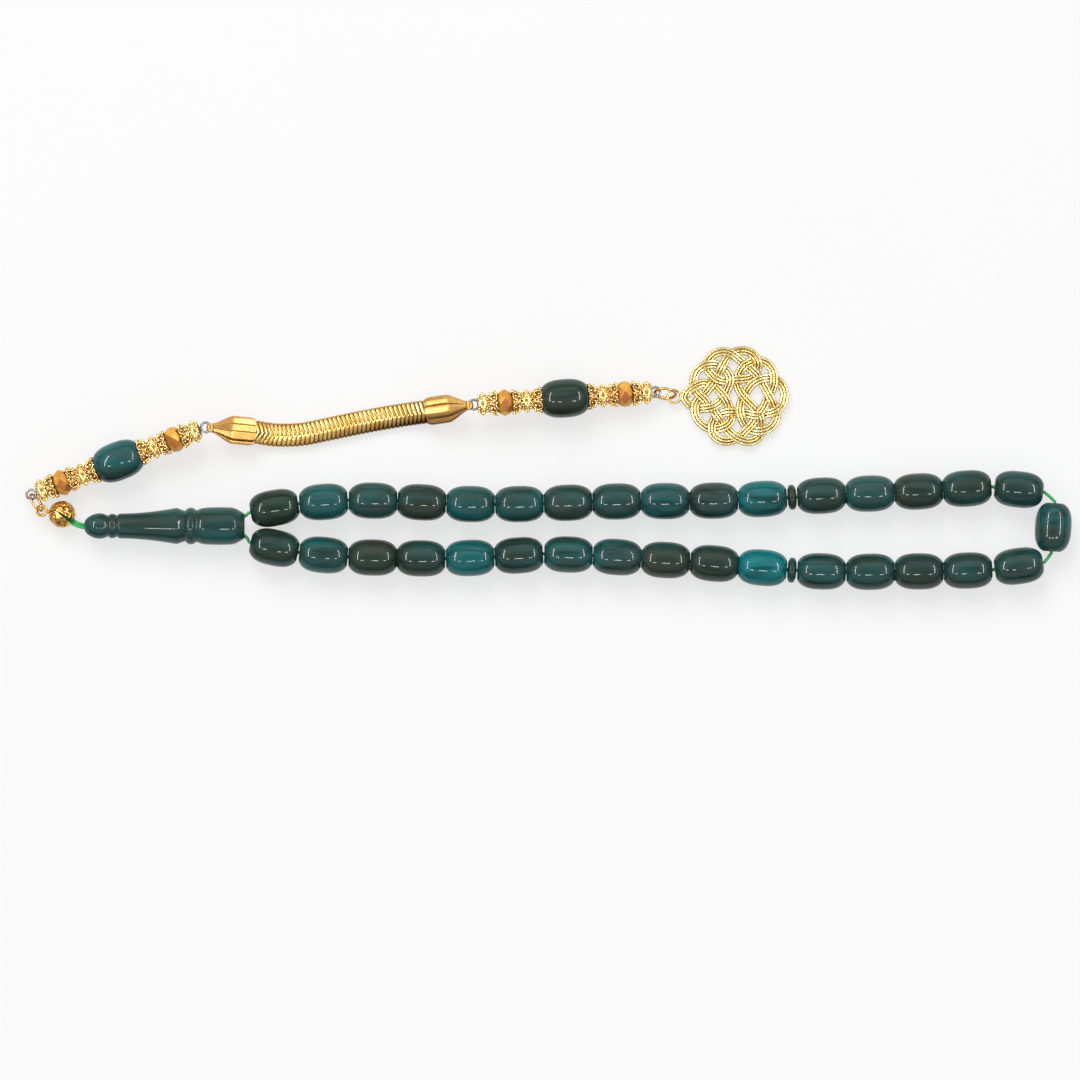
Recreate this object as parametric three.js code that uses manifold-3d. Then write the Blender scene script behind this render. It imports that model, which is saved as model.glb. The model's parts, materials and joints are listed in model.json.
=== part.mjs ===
// Misbaha prayer beads with a jointed tassel, laid out flat on a table. Millimetres, +Z up.
// The leader's axis lies along +X, with the string of beads to its right and the tassel above it.

import * as THREE from 'three';
import { mergeVertices } from 'three/addons/utils/BufferGeometryUtils.js';
import Module from 'manifold-3d';

const wasm = await Module();
wasm.setup();

// Clearances between pieces that slide, turn or hang on each other

const clearance = {
  bore: 0.3, // between a cord or pin and the bore that it runs through
  bead: 0.3, // between the nearest edges of two beads on the cord
  cup: 0.3, // between a bead's end and the cap that covers it
  strand: 0.35, // between the two cord strands inside the leader
  link: 0.35, // between a ring and what hangs from it
  pocket: 0.35, // between the chain's end and its folded cap
};

// One overrun for every cutter that has to pass right through a wall
const overrun = 0.6;

// The string

const cord = { diameter: 0.75, sides: 8, straight: 0.5, knotRadius: 1.35, knotSegments: 8 };

const bead = { length: 10.8, diameter: 8.4, faceDiameter: 5.4, segments: 10 };
// Places along a bead's half length and the radius there, as shares of half its length and its radius
const beadOutlineShares = [[-0.8, 0.9], [-0.32, 1], [0.32, 1], [0.8, 0.9]];

const divider = { thickness: 2.0, diameter: 5.8, rimThickness: 1.1, segments: 12 };

// Beads from the leader outwards on each side of the string: two groups, with a divider between them
const row = { firstGroup: 11, secondGroup: 5, startGap: 1.5, endSlack: 0.35 };
// Headings of each row's pieces in degrees, as the string lies: the divider is the twelfth
const upperHeadings = [10, 4, -1, -3, -1, 1, 2, 1, 0, 1, 3, 4, 3, 2, 3, 4, -6];
const lowerHeadings = [-12, -5, -1, -1, 2, 4, -2, -4, -3, -5, -5, -4, -2, 1, 0, 2, 8];
// How far to each side of the leader's axis the rows start
const upperStart = 3.2;
const lowerStart = -3.83;

const endBead = { heading: -94, reach: 2.55 };

// The leader: one turned piece, from the tip at its left to the barrel at its right

const leader = {
  knobLength: 5.1,
  knobDiameter: 5.9,
  knobEndDiameter: 3.2,
  neckDiameter: 4.9,
  ringLength: 2.2,
  ringDiameter: 5.7,
  coneLength: 13.7,
  coneTipDiameter: 5.75,
  coneWaistShare: 0.42, // the cone is hollowed a little here
  coneWaistDiameter: 6.1,
  coneDiameter: 8.35,
  chamferLength: 1.8,
  chamferDiameter: 7.1,
  collarLength: 2.8,
  collarDiameter: 8.5,
  barrelLength: 11.1,
  barrelDiameter: 8.75,
  barrelFaceDiameter: 5.8,
  groove: 0.25,
  holeSpread: 4.4, // between the two cord holes in the broad end
  segments: 16,
};
// Places along the knob and the barrel and the width there, as shares of their length and diameter
const knobShares = [[0.25, 0.76], [0.45, 0.96], [0.8, 0.97]];
const barrelShares = [[0.03, 0.9], [0.14, 0.98], [0.4, 1], [0.75, 0.98], [0.84, 0.9], [0.91, 0.78]];

// The tassel's wire links

const wire = { sides: 6, turns: 14 };
const eye = { wireDiameter: 0.6, ringRadius: 1.1 };
const knotRing = { wireDiameter: 0.6, ringRadius: 2.2, lean: 72 };
const pendantRing = { wireDiameter: 0.7, ringRadius: 2.35, lean: 63 };

const clamshell = {
  diameter: 6.2,
  wall: 0.45,
  slit: 0.5,
  slitHeading: -35.5,
  hingeShare: 0.5, // how much of the radius behind the middle stays joined
  mouthDiameter: 2.6,
  hookWire: 0.6,
  hookRadius: 1.1,
  hookReach: 4.8,
  hookHeading: 170,
  fromLeader: [-5.3, 2.7],
  segments: 12,
};

// One pin section: caps, spacers and beads threaded on a pin with an eye at both ends

const section = {
  pinDiameter: 0.7,
  greenLength: 11.6,
  greenDiameter: 8.9,
  greenFaceDiameter: 4.4,
  brownLength: 4.1,
  brownDiameter: 5.8,
  brownFaceDiameter: 3.2,
  brownSlope: 2.4, // how much the facets' cone widens towards the middle
  greenRimDiameter: 6.6,
  greenRimDepth: 0.75,
  brownRimDiameter: 6.2,
  brownRimDepth: 0.6,
  capWall: 0.4,
  capDepth: 1.35,
  cupShare: 0.82, // the cup's floor against its lip
  backShare: 0.93, // the cup's back against its rim
  waistDiameter: 2.9,
  waistLength: 0.15,
  spacerLength: 2.4,
  spacerDiameter: 5.3,
  spacerFaceDiameter: 3.4,
  hollowDiameter: 2.8, // the outer spacers are hollow towards the pin's eyes
  hollowDepth: 0.8,
  lift: 0.1, // the tilted belly's corner lies this much below its middle
  segments: 12,
  studs: 6,
};
// How far studs and petals rise and fall about the mean radius
const studShare = 0.12;
const petalShare = 0.06;
// Places along a green bead's half length and the radius there, as shares
const greenOutlineShares = [[-0.92, 0.55], [-0.72, 0.84], [-0.25, 1], [0.25, 1], [0.72, 0.84], [0.92, 0.55]];

// From the bead tip's loop to the first pin, and how the two pins lie
// The eye's gap is from the bottom of a spacer's hollow end to the eye
const firstPin = { ringHeading: 124, heading: 20.9, eyeGap: 0.9 };
const secondPin = { heading: 4.1, ringHeading: -5, eyeGap: 0.2 };

// The snake chain with its folded end caps

const chain = {
  span: 61.7, // between the two pin eyes that it joins
  spanHeading: 4.85,
  width: 5.5,
  thickness: 2.6,
  ribs: 48,
  endShare: 0.84, // how far the ends are pressed in inside the caps
  valleyShare: 0.9, // the section between two ribs
  chevron: 0.45,
  tableClear: 0.12,
};
// The chain's drift to the side, as shares of the distance between its two caps: place along, place across
const chainDriftShares = [[0.09, -0.025], [0.18, -0.04], [0.28, -0.045], [0.4, -0.036], [0.63, -0.016], [0.85, -0.003]];

const endCap = {
  length: 10.4, // from the eye's wire to the mouth
  width: 6.5,
  thickness: 3.6,
  tongueWidth: 0.8,
  tipWidth: 2.3,
  tipThickness: 1.3,
  taperShare: 0.44, // of the length
  tipStart: 1.35, // where the tongue widens, from the eye's wire
  knuckleDiameter: 2.0,
  pocketShare: 0.44,
  seamWidth: 0.3,
  seamDepth: 0.25,
  pitch: 20,
  leftHeading: -5,
  rightHeading: 8,
};

// The cast pendant: one strand plaited into a round knot

const pendant = {
  radius: 11.3,
  strandWidth: 2.0,
  strandHeight: 1.75, // mean height of the strand's crown
  weave: 0.4, // how far the crown rises over a crossing and dips under one
  shoulder: 0.45, // from the strand's crown down to its edges
  loopRadius: 1.56,
  loopWidth: 0.6,
  loopThickness: 0.8,
  loopDrop: 0.1, // from the highest crown down to the loop's top
  loopOverlap: 0.35, // how far the loop is sunk into the strand
  pieces: 20,
  heading: 0.5,
};
// The strand's closed route, as shares of the pendant's radius
const knotRouteShares = [
  [-0.93, 0.32], [-0.88, 0.48], [-0.76, 0.6], [-0.6, 0.655], [-0.45, 0.64], [-0.3, 0.56],
  [-0.2, 0.42], [-0.19, 0.28], [-0.26, 0.1], [-0.36, -0.07], [-0.48, -0.18], [-0.64, -0.24],
  [-0.82, -0.25], [-0.97, -0.2], [-1.07, -0.1], [-1.11, -0.02], [-1.06, 0.08], [-0.95, 0.18],
  [-0.8, 0.255], [-0.65, 0.26], [-0.5, 0.2], [-0.37, 0.07], [-0.27, -0.08], [-0.2, -0.25],
  [-0.16, -0.42], [-0.21, -0.54], [-0.33, -0.63], [-0.5, -0.67], [-0.67, -0.63], [-0.82, -0.51],
  [-0.91, -0.34], [-0.9, -0.17], [-0.82, -0.05], [-0.7, 0.06], [-0.6, 0.19], [-0.51, 0.31],
  [-0.42, 0.46], [-0.34, 0.62], [-0.25, 0.77], [-0.1, 0.89], [0.08, 0.925], [0.25, 0.87],
  [0.35, 0.75], [0.385, 0.62], [0.34, 0.47], [0.24, 0.38], [0.08, 0.345], [-0.06, 0.335],
  [-0.17, 0.32], [-0.29, 0.305], [-0.42, 0.335], [-0.54, 0.42], [-0.63, 0.53], [-0.66, 0.64],
  [-0.61, 0.76], [-0.5, 0.86], [-0.34, 0.91], [-0.18, 0.88], [-0.04, 0.78], [0.09, 0.67],
  [0.22, 0.56], [0.34, 0.44], [0.43, 0.32], [0.5, 0.2], [0.58, 0.04], [0.66, -0.12],
  [0.72, -0.27], [0.755, -0.42], [0.7, -0.56], [0.58, -0.67], [0.42, -0.72], [0.27, -0.705],
  [0.15, -0.63], [0.06, -0.5], [0.01, -0.34], [0.02, -0.19], [0.06, -0.05], [0.15, 0.1],
  [0.25, 0.23], [0.38, 0.32], [0.52, 0.36], [0.67, 0.36], [0.8, 0.29], [0.89, 0.16],
  [0.92, 0], [0.88, -0.16], [0.78, -0.28], [0.64, -0.35], [0.5, -0.375], [0.38, -0.4],
  [0.26, -0.385], [0.12, -0.355], [-0.1, -0.325], [-0.22, -0.325], [-0.34, -0.345], [-0.46, -0.41],
  [-0.54, -0.52], [-0.57, -0.65], [-0.54, -0.78], [-0.43, -0.88], [-0.28, -0.92], [-0.13, -0.89],
  [0, -0.82], [0.14, -0.69], [0.27, -0.54], [0.38, -0.39], [0.48, -0.24], [0.56, -0.09],
  [0.63, 0.05], [0.69, 0.2], [0.705, 0.36], [0.68, 0.51], [0.59, 0.64], [0.48, 0.7],
  [0.36, 0.72], [0.24, 0.695], [0.12, 0.63], [0.03, 0.52], [-0.02, 0.4], [-0.04, 0.24],
  [0.03, 0.07], [0.14, -0.08], [0.27, -0.21], [0.37, -0.32], [0.42, -0.45], [0.44, -0.6],
  [0.43, -0.76], [0.34, -0.88], [0.19, -0.93], [0.03, -0.9], [-0.11, -0.82], [-0.24, -0.7],
  [-0.34, -0.57], [-0.44, -0.43], [-0.53, -0.29], [-0.64, -0.16], [-0.76, -0.02], [-0.87, 0.1],
  [-0.93, 0.2],
];

// Materials

function finish(color, roughness, metalness) {
  return new THREE.MeshStandardMaterial({ color, roughness, metalness });
}

const stone = finish(0x24453f, 0.2, 0);
const thread = finish(0x1f9a4c, 0.85, 0);
const gold = finish(0xe0b24a, 0.25, 1);
const satinGold = finish(0xd3a250, 0.4, 1);
const silver = finish(0xc9ccd0, 0.2, 1);
const brownGlass = finish(0xa9642a, 0.45, 0.2);

// Solids and joins

function toSolid(geometry) {
  const bare = geometry.clone();
  bare.deleteAttribute('normal');
  bare.deleteAttribute('uv');
  const merged = mergeVertices(bare);
  const vertProperties = Float32Array.from(merged.attributes.position.array);
  const triVerts = Uint32Array.from(merged.index.array);
  return new wasm.Manifold(new wasm.Mesh({ numProp: 3, vertProperties, triVerts }));
}

function toGeometry(solid) {
  const mesh = solid.getMesh();
  const geometry = new THREE.BufferGeometry();
  const step = mesh.numProp;
  const positions = new Float32Array((mesh.vertProperties.length / step) * 3);
  for (let i = 0; i < positions.length / 3; i += 1) {
    positions.set(mesh.vertProperties.subarray(i * step, i * step + 3), i * 3);
  }
  geometry.setAttribute('position', new THREE.BufferAttribute(positions, 3));
  geometry.setIndex(Array.from(mesh.triVerts));
  geometry.computeVertexNormals();
  return geometry;
}

function join(...geometries) {
  return toGeometry(geometries.map(toSolid).reduce((whole, piece) => whole.add(piece)));
}

function cut(geometry, ...cutters) {
  return toGeometry(cutters.map(toSolid).reduce((whole, piece) => whole.subtract(piece), toSolid(geometry)));
}

function common(first, second) {
  return toGeometry(toSolid(first).intersect(toSolid(second)));
}

// Turned pieces: a closed outline of [place along X, radius] pairs, out along the surface and back along the
// bore. A third number makes the radius rise and fall with the angle, for studs and petals.

function turned(outline, segments, lobes = 0) {
  const closed = [...outline, outline[0]];
  const points = closed.map(([x, radius]) => new THREE.Vector2(radius, x));
  const geometry = new THREE.LatheGeometry(points, segments);
  const position = geometry.attributes.position;
  for (let i = 0; i < position.count; i += 1) {
    const wave = closed[i % closed.length][2] ?? 0;
    const angle = Math.atan2(position.getX(i), position.getZ(i));
    const swell = 1 + wave * Math.cos(lobes * angle);
    position.setX(i, position.getX(i) * swell);
    position.setZ(i, position.getZ(i) * swell);
  }
  geometry.deleteAttribute('normal');
  geometry.deleteAttribute('uv');
  geometry.rotateZ(-Math.PI / 2);
  const whole = mergeVertices(geometry);
  whole.computeVertexNormals();
  return whole;
}

function rod(diameter, length, sides) {
  return new THREE.CylinderGeometry(diameter / 2, diameter / 2, length, sides);
}

function wireRing(ringRadius, wireDiameter) {
  return new THREE.TorusGeometry(ringRadius, wireDiameter / 2, wire.sides, wire.turns);
}

// A path whose steps fall exactly on its stations, so that a cord passes straight through every bore
class StationPath extends THREE.Curve {
  constructor(stations) {
    super();
    this.stations = stations;
  }

  getPoint(share, target = new THREE.Vector3()) {
    const place = share * (this.stations.length - 1);
    const index = Math.min(Math.floor(place), this.stations.length - 2);
    return target.lerpVectors(this.stations[index], this.stations[index + 1], place - index);
  }

  getUtoTmapping(share) {
    return share;
  }
}

function tube(stations, diameter, sides) {
  const section = new THREE.Shape();
  for (let i = 0; i < sides; i += 1) {
    const angle = ((i + 0.5) * 2 * Math.PI) / sides;
    const corner = new THREE.Vector2(Math.cos(angle), Math.sin(angle)).multiplyScalar(diameter / 2);
    if (i === 0) section.moveTo(corner.x, corner.y);
    else section.lineTo(corner.x, corner.y);
  }
  const extrudePath = new StationPath(stations);
  const geometry = new THREE.ExtrudeGeometry(section, { steps: stations.length - 1, extrudePath });
  geometry.deleteAttribute('normal');
  geometry.deleteAttribute('uv');
  const whole = mergeVertices(geometry);
  whole.computeVertexNormals();
  return whole;
}

// Directions in the plane of the table

function heading(degrees, length = 1, height = 0) {
  const angle = THREE.MathUtils.degToRad(degrees);
  return new THREE.Vector3(Math.cos(angle) * length, Math.sin(angle) * length, height);
}

function piece(name, geometry, material) {
  const mesh = new THREE.Mesh(geometry, material);
  mesh.name = name;
  return mesh;
}

// A frame whose X axis points along a heading and rises by a pitch
function frameAt(origin, headingDegrees, pitchDegrees = 0) {
  const group = new THREE.Group();
  group.position.copy(origin);
  group.rotation.order = 'ZYX';
  group.rotation.z = THREE.MathUtils.degToRad(headingDegrees);
  group.rotation.y = -THREE.MathUtils.degToRad(pitchDegrees);
  return group;
}

const beads = new THREE.Group();

// Counting beads and dividers

const boreRadius = cord.diameter / 2 + clearance.bore;

function beadGeometry() {
  const half = bead.length / 2;
  const radius = bead.diameter / 2;
  const face = bead.faceDiameter / 2;
  const barrel = beadOutlineShares.map(([along, out]) => [along * half, out * radius]);
  const outline = [[-half, boreRadius], [-half, face], ...barrel, [half, face], [half, boreRadius]];
  return turned(outline, bead.segments);
}

function dividerGeometry() {
  const half = divider.thickness / 2;
  const rim = divider.rimThickness / 2;
  const radius = divider.diameter / 2;
  const face = radius - (half - rim);
  const outline = [[-half, boreRadius], [-half, face], [-rim, radius], [rim, radius], [half, face], [half, boreRadius]];
  return turned(outline, divider.segments);
}

// Two neighbours touch at their edges, so the gap on the axis grows with the bend between them
function gapBetween(firstHeading, secondHeading) {
  const bend = THREE.MathUtils.degToRad(Math.abs(secondHeading - firstHeading));
  return clearance.bead + bead.faceDiameter * Math.tan(bend / 2);
}

const beadHeight = bead.diameter / 2;

function layRow(start, headings) {
  const places = [];
  const end = start.clone();
  headings.forEach((degrees, index) => {
    const isDivider = index === row.firstGroup;
    const length = isDivider ? divider.thickness : bead.length;
    const centre = end.clone().add(heading(degrees, length / 2));
    places.push({ centre, degrees, length, isDivider });
    const next = headings[index + 1] ?? degrees;
    const slack = index === headings.length - 2 ? row.endSlack : 0;
    end.copy(centre).add(heading(degrees, length / 2));
    end.add(heading((degrees + next) / 2, gapBetween(degrees, next) + slack));
  });
  return places;
}

const leaderLength = leader.knobLength + leader.ringLength + leader.coneLength + leader.chamferLength
  + leader.collarLength + leader.barrelLength;
const leaderHeight = leader.barrelDiameter / 2;

const rowStart = leaderLength + row.startGap;
const upperRow = layRow(new THREE.Vector3(rowStart, upperStart, beadHeight), upperHeadings);
const lowerRow = layRow(new THREE.Vector3(rowStart, lowerStart, beadHeight), lowerHeadings);

function rowEnd(places) {
  const last = places[places.length - 1];
  return last.centre.clone().add(heading(last.degrees, last.length / 2));
}

const endCentre = rowEnd(upperRow).lerp(rowEnd(lowerRow), 0.5);
endCentre.x = Math.max(rowEnd(upperRow).x, rowEnd(lowerRow).x) + endBead.reach;
const endPlace = { centre: endCentre, degrees: endBead.heading, length: bead.length };

function strung(name, geometry, place) {
  const mesh = piece(name, geometry, stone);
  mesh.position.copy(place.centre);
  mesh.rotation.z = THREE.MathUtils.degToRad(place.degrees);
  return mesh;
}

function twoDigits(number) {
  return String(number).padStart(2, '0');
}

let beadNumber = 0;
function stringRow(places, dividerName) {
  for (const place of places) {
    if (place.isDivider) {
      beads.add(strung(dividerName, dividerGeometry(), place));
    } else {
      beadNumber += 1;
      beads.add(strung(`bead_${twoDigits(beadNumber)}`, beadGeometry(), place));
    }
  }
}

stringRow(upperRow, 'divider_upper');
beadNumber += 1;
beads.add(strung(`bead_${twoDigits(beadNumber)}`, beadGeometry(), endPlace));
stringRow([...lowerRow].reverse(), 'divider_lower');

// Leader

function leaderOutline() {
  const points = [];
  let x = 0;
  const add = (length, diameter) => {
    x += length;
    points.push([x, diameter / 2]);
  };
  const swell = (shares, length, diameter) => {
    shares.forEach(([place, out]) => points.push([x + place * length, (out * diameter) / 2]));
  };
  const boreDiameter = cord.diameter * 2 + clearance.strand + clearance.bore * 2;
  points.push([0, boreDiameter / 2]);
  add(0, leader.knobEndDiameter);
  swell(knobShares, leader.knobLength, leader.knobDiameter);
  add(leader.knobLength, leader.neckDiameter);
  add(leader.ringLength / 4, leader.ringDiameter);
  add(leader.ringLength / 2, leader.ringDiameter);
  add(leader.ringLength / 4, leader.neckDiameter);
  add(leader.groove, leader.coneTipDiameter);
  swell([[leader.coneWaistShare, 1]], leader.coneLength, leader.coneWaistDiameter);
  add(leader.coneLength - leader.groove, leader.coneDiameter);
  add(leader.chamferLength - leader.groove, leader.chamferDiameter);
  add(leader.groove, leader.collarDiameter - leader.groove * 2);
  add(leader.groove, leader.collarDiameter);
  add(leader.collarLength - leader.groove * 2, leader.collarDiameter);
  add(leader.groove, leader.collarDiameter - leader.groove * 2);
  swell(barrelShares, leader.barrelLength, leader.barrelDiameter);
  add(leader.barrelLength, leader.barrelFaceDiameter);
  return points;
}

// Where each strand runs inside the leader: side by side from the tip, then apart to the two holes
const strandOffset = (cord.diameter + clearance.strand) / 2;
const channelBend = leader.knobLength + leader.ringLength;

function leaderChannel(side) {
  return [
    new THREE.Vector3(channelBend, side * strandOffset, 0),
    new THREE.Vector3(leaderLength, (side * leader.holeSpread) / 2, 0),
  ];
}

function leaderGeometry() {
  const outline = leaderOutline();
  const bore = outline[0][1];
  const stem = [[channelBend, bore], [channelBend, 0], [leaderLength, 0]];
  const shell = turned([...outline, ...stem.reverse()], leader.segments);
  const cutters = [1, -1].map((side) => {
    const [from, to] = leaderChannel(side);
    const along = to.clone().sub(from).normalize();
    const start = from.clone().addScaledVector(along, -overrun);
    const end = to.clone().addScaledVector(along, overrun);
    return tube([start, end], boreRadius * 2, cord.sides);
  });
  return cut(shell, ...cutters);
}

const leaderMesh = piece('leader', leaderGeometry(), stone);
leaderMesh.position.z = leaderHeight;
beads.add(leaderMesh);

// Clamshell bead tip over the knot

const clamshellRadius = clamshell.diameter / 2;
const clamshellCentre = new THREE.Vector3(...clamshell.fromLeader, clamshellRadius);
const hookOffset = heading(clamshell.hookHeading, clamshell.hookReach);
const hookCentre = clamshellCentre.clone().add(hookOffset);

function ball(radius, segments) {
  return new THREE.SphereGeometry(radius, segments, segments / 2).rotateX(Math.PI / 2);
}

function clamshellGeometry() {
  const slitHeading = THREE.MathUtils.degToRad(clamshell.slitHeading);
  const hinge = clamshellRadius * clamshell.hingeShare;
  const slitLength = clamshellRadius + hinge + overrun;
  const slit = new THREE.BoxGeometry(slitLength, clamshell.slit, clamshell.diameter + overrun);
  slit.translate(slitLength / 2 - hinge, 0, 0);
  slit.rotateZ(slitHeading);
  const mouth = rod(clamshell.mouthDiameter, clamshellRadius + overrun, cord.sides);
  mouth.rotateZ(-Math.PI / 2);
  mouth.translate((clamshellRadius + overrun) / 2, 0, 0);
  mouth.rotateZ(slitHeading);
  const cups = cut(
    ball(clamshellRadius, clamshell.segments),
    ball(clamshellRadius - clamshell.wall, clamshell.segments),
    slit,
    mouth,
  );
  const hook = wireRing(clamshell.hookRadius, clamshell.hookWire).translate(hookOffset.x, hookOffset.y, 0);
  const stemStart = clamshellRadius - clamshell.wall / 2;
  const stemLength = clamshell.hookReach - clamshell.hookRadius - stemStart;
  const stem = new THREE.BoxGeometry(stemLength, clamshell.hookWire * 2, clamshell.hookWire);
  stem.translate(stemStart + stemLength / 2, 0, 0);
  stem.rotateZ(THREE.MathUtils.degToRad(clamshell.hookHeading));
  return join(cups, hook, stem);
}

const clamshellMesh = piece('clamshell_tip', clamshellGeometry(), gold);
clamshellMesh.position.copy(clamshellCentre);
beads.add(clamshellMesh);

// Cord: from the knot through the leader, round both rows and the end bead, and back to the knot

function through(place) {
  const half = heading(place.degrees, place.length / 2);
  if (place.isDivider) return [place.centre.clone()];
  return [place.centre.clone().sub(half), place.centre.clone().add(half)];
}

function strandStations(side) {
  const mouth = clamshellCentre.clone().add(heading(clamshell.slitHeading, clamshellRadius));
  const sideways = heading(clamshell.slitHeading + 90, side * strandOffset);
  const rise = new THREE.Vector3(0, 0, leaderHeight);
  const [bend, hole] = leaderChannel(side).map((point) => point.add(rise));
  const tip = new THREE.Vector3(-cord.straight, side * strandOffset, leaderHeight);
  const outside = hole.clone().sub(bend).setLength(cord.straight).add(hole);
  return [clamshellCentre.clone(), mouth.add(sideways), tip, bend, outside];
}

// The cord leaves a bore straight before it bends
function leaving(place, side) {
  return place.centre.clone().add(heading(place.degrees, side * (place.length / 2 + cord.straight)));
}

function cordStations() {
  const upperLast = upperRow[upperRow.length - 1];
  const lowerLast = lowerRow[lowerRow.length - 1];
  return [
    ...strandStations(1),
    leaving(upperRow[0], -1),
    ...upperRow.flatMap(through),
    leaving(upperLast, 1),
    leaving(endPlace, -1),
    ...through(endPlace),
    leaving(endPlace, 1),
    leaving(lowerLast, 1),
    ...[...lowerRow].reverse().flatMap((place) => through(place).reverse()),
    leaving(lowerRow[0], -1),
    ...strandStations(-1).reverse(),
  ];
}

function cordGeometry() {
  const stations = cordStations();
  const last = stations.length - 1;
  // Both ends stop a strand's width apart inside the knot, so that the tube never meets itself
  const sideways = heading(clamshell.slitHeading + 90, strandOffset);
  stations[0].add(sideways);
  stations[last].sub(sideways);
  const loop = tube(stations, cord.diameter, cord.sides);
  const knot = ball(cord.knotRadius, cord.knotSegments).translate(...clamshellCentre.toArray());
  return join(loop, knot);
}

beads.add(piece('cord', cordGeometry(), thread));

// Pin sections: each stack is laid out from the green bead's middle towards an eye

const pinBore = section.pinDiameter / 2 + clearance.bore;
const cupFloorAtGreen = section.greenLength / 2 + clearance.cup;
const capBack = section.capDepth + section.waistLength;
const innerClusterLength = capBack * 2 + section.spacerLength;
const brownCentre = cupFloorAtGreen + innerClusterLength + clearance.cup + section.brownLength / 2;
const outerFloor = brownCentre + section.brownLength / 2 + clearance.cup;

function capOutline(floor, rimDiameter, rimDepth, backwards) {
  const sign = backwards ? -1 : 1;
  const rim = rimDiameter / 2;
  const lip = rim - section.capWall;
  const waist = section.waistDiameter / 2;
  return {
    inside: [[floor, pinBore], [floor, lip * section.cupShare], [floor - sign * rimDepth, lip, petalShare]],
    outside: [
      [floor - sign * rimDepth, rim, petalShare],
      [floor, rim * section.backShare, petalShare],
      [floor + sign * section.capDepth, waist],
    ],
  };
}

function spacerOutline(start, end) {
  const face = section.spacerFaceDiameter / 2;
  const radius = section.spacerDiameter / 2;
  const middle = (start + end) / 2;
  const quarter = (end - start) / 4;
  return [[start, face], [middle - quarter, radius, studShare], [middle + quarter, radius, studShare], [end, face]];
}

function innerCluster() {
  const spacerStart = cupFloorAtGreen + capBack;
  const spacerEnd = spacerStart + section.spacerLength;
  const brownFloor = spacerEnd + capBack;
  const greenCap = capOutline(cupFloorAtGreen, section.greenRimDiameter, section.greenRimDepth, false);
  const brownCap = capOutline(brownFloor, section.brownRimDiameter, section.brownRimDepth, true);
  const outline = [
    ...greenCap.inside,
    ...greenCap.outside,
    ...spacerOutline(spacerStart, spacerEnd),
    ...[...brownCap.outside].reverse(),
    ...[...brownCap.inside].reverse(),
  ];
  return turned(outline, section.segments, section.studs);
}

function outerCluster() {
  const spacerStart = outerFloor + capBack;
  const spacerEnd = spacerStart + section.spacerLength;
  const cap = capOutline(outerFloor, section.brownRimDiameter, section.brownRimDepth, false);
  const hollow = section.hollowDiameter / 2;
  const hollowFloor = spacerEnd - section.hollowDepth;
  const outline = [
    ...cap.inside,
    ...cap.outside,
    ...spacerOutline(spacerStart, spacerEnd),
    [spacerEnd, hollow],
    [hollowFloor, hollow],
    [hollowFloor, pinBore],
  ];
  return turned(outline, section.segments, section.studs);
}

function greenBead() {
  const half = section.greenLength / 2;
  const radius = section.greenDiameter / 2;
  const face = section.greenFaceDiameter / 2;
  const barrel = greenOutlineShares.map(([along, out]) => [along * half, out * radius]);
  const outline = [[-half, pinBore], [-half, face], ...barrel, [half, face], [half, pinBore]];
  return turned(outline, section.segments);
}

// A six-sided prism cut by a six-sided double cone turned by half a side, which leaves hexagon facets
function brownBead() {
  const half = section.brownLength / 2;
  const radius = section.brownDiameter / 2;
  const face = section.brownFaceDiameter / 2;
  const slope = (radius - face) * section.brownSlope;
  const prism = turned([[-half, pinBore], [-half, radius], [half, radius], [half, pinBore]], section.studs);
  const cones = turned([[-half, 0], [-half, face], [0, face + slope], [half, face], [half, 0]], section.studs);
  return common(prism, cones.rotateX(Math.PI / section.studs));
}

// Half a pin, from its middle to an eye's centre
const stackEnd = outerFloor + capBack + section.spacerLength;

function halfPin(eyeGap) {
  return stackEnd - section.hollowDepth + eyeGap + eye.wireDiameter / 2 + eye.ringRadius;
}

function doubleEyedPin(half) {
  const shaftLength = (half - eye.ringRadius) * 2;
  const shaft = rod(section.pinDiameter, shaftLength, wire.sides).rotateZ(-Math.PI / 2);
  shaft.translate(half, 0, 0);
  const near = wireRing(eye.ringRadius, eye.wireDiameter);
  const far = wireRing(eye.ringRadius, eye.wireDiameter).rotateZ(Math.PI).translate(half * 2, 0, 0);
  return join(shaft, near, far);
}

// The section leans on its green bead and on one of its outer spacers
const spacerReach = outerFloor + capBack + section.spacerLength / 2;
const spacerRadius = (section.spacerDiameter / 2) * (1 + studShare);
const pinTilt = THREE.MathUtils.radToDeg(Math.asin((section.greenDiameter / 2 - spacerRadius) / spacerReach));
const pinHeight = section.greenDiameter / 2 + section.lift;
const firstHalf = halfPin(firstPin.eyeGap);
const secondHalf = halfPin(secondPin.eyeGap);

// How high an eye lies above or below the middle of its pin
function eyeRise(half) {
  return half * Math.sin(THREE.MathUtils.degToRad(pinTilt));
}

function pinSection(prefix, eyeCentre, degrees, tilt, middle) {
  const frame = frameAt(eyeCentre, degrees, tilt);
  frame.add(piece(`${prefix}_pin`, doubleEyedPin(middle), silver));
  const threaded = [
    ['crown_outer_left', outerCluster(), gold, true],
    ['brown_bead_left', brownBead(), brownGlass, true],
    ['crown_inner_left', innerCluster(), gold, true],
    ['green_bead', greenBead(), stone, false],
    ['crown_inner_right', innerCluster(), gold, false],
    ['brown_bead_right', brownBead(), brownGlass, false],
    ['crown_outer_right', outerCluster(), gold, false],
  ];
  for (const [name, geometry, material, facesLeft] of threaded) {
    const mesh = piece(`${prefix}_${name}`, geometry, material);
    mesh.position.x = middle;
    if (facesLeft) mesh.rotation.z = Math.PI;
    if (name.startsWith('brown')) mesh.position.x += facesLeft ? -brownCentre : brownCentre;
    frame.add(mesh);
  }
  beads.add(frame);
}

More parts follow.
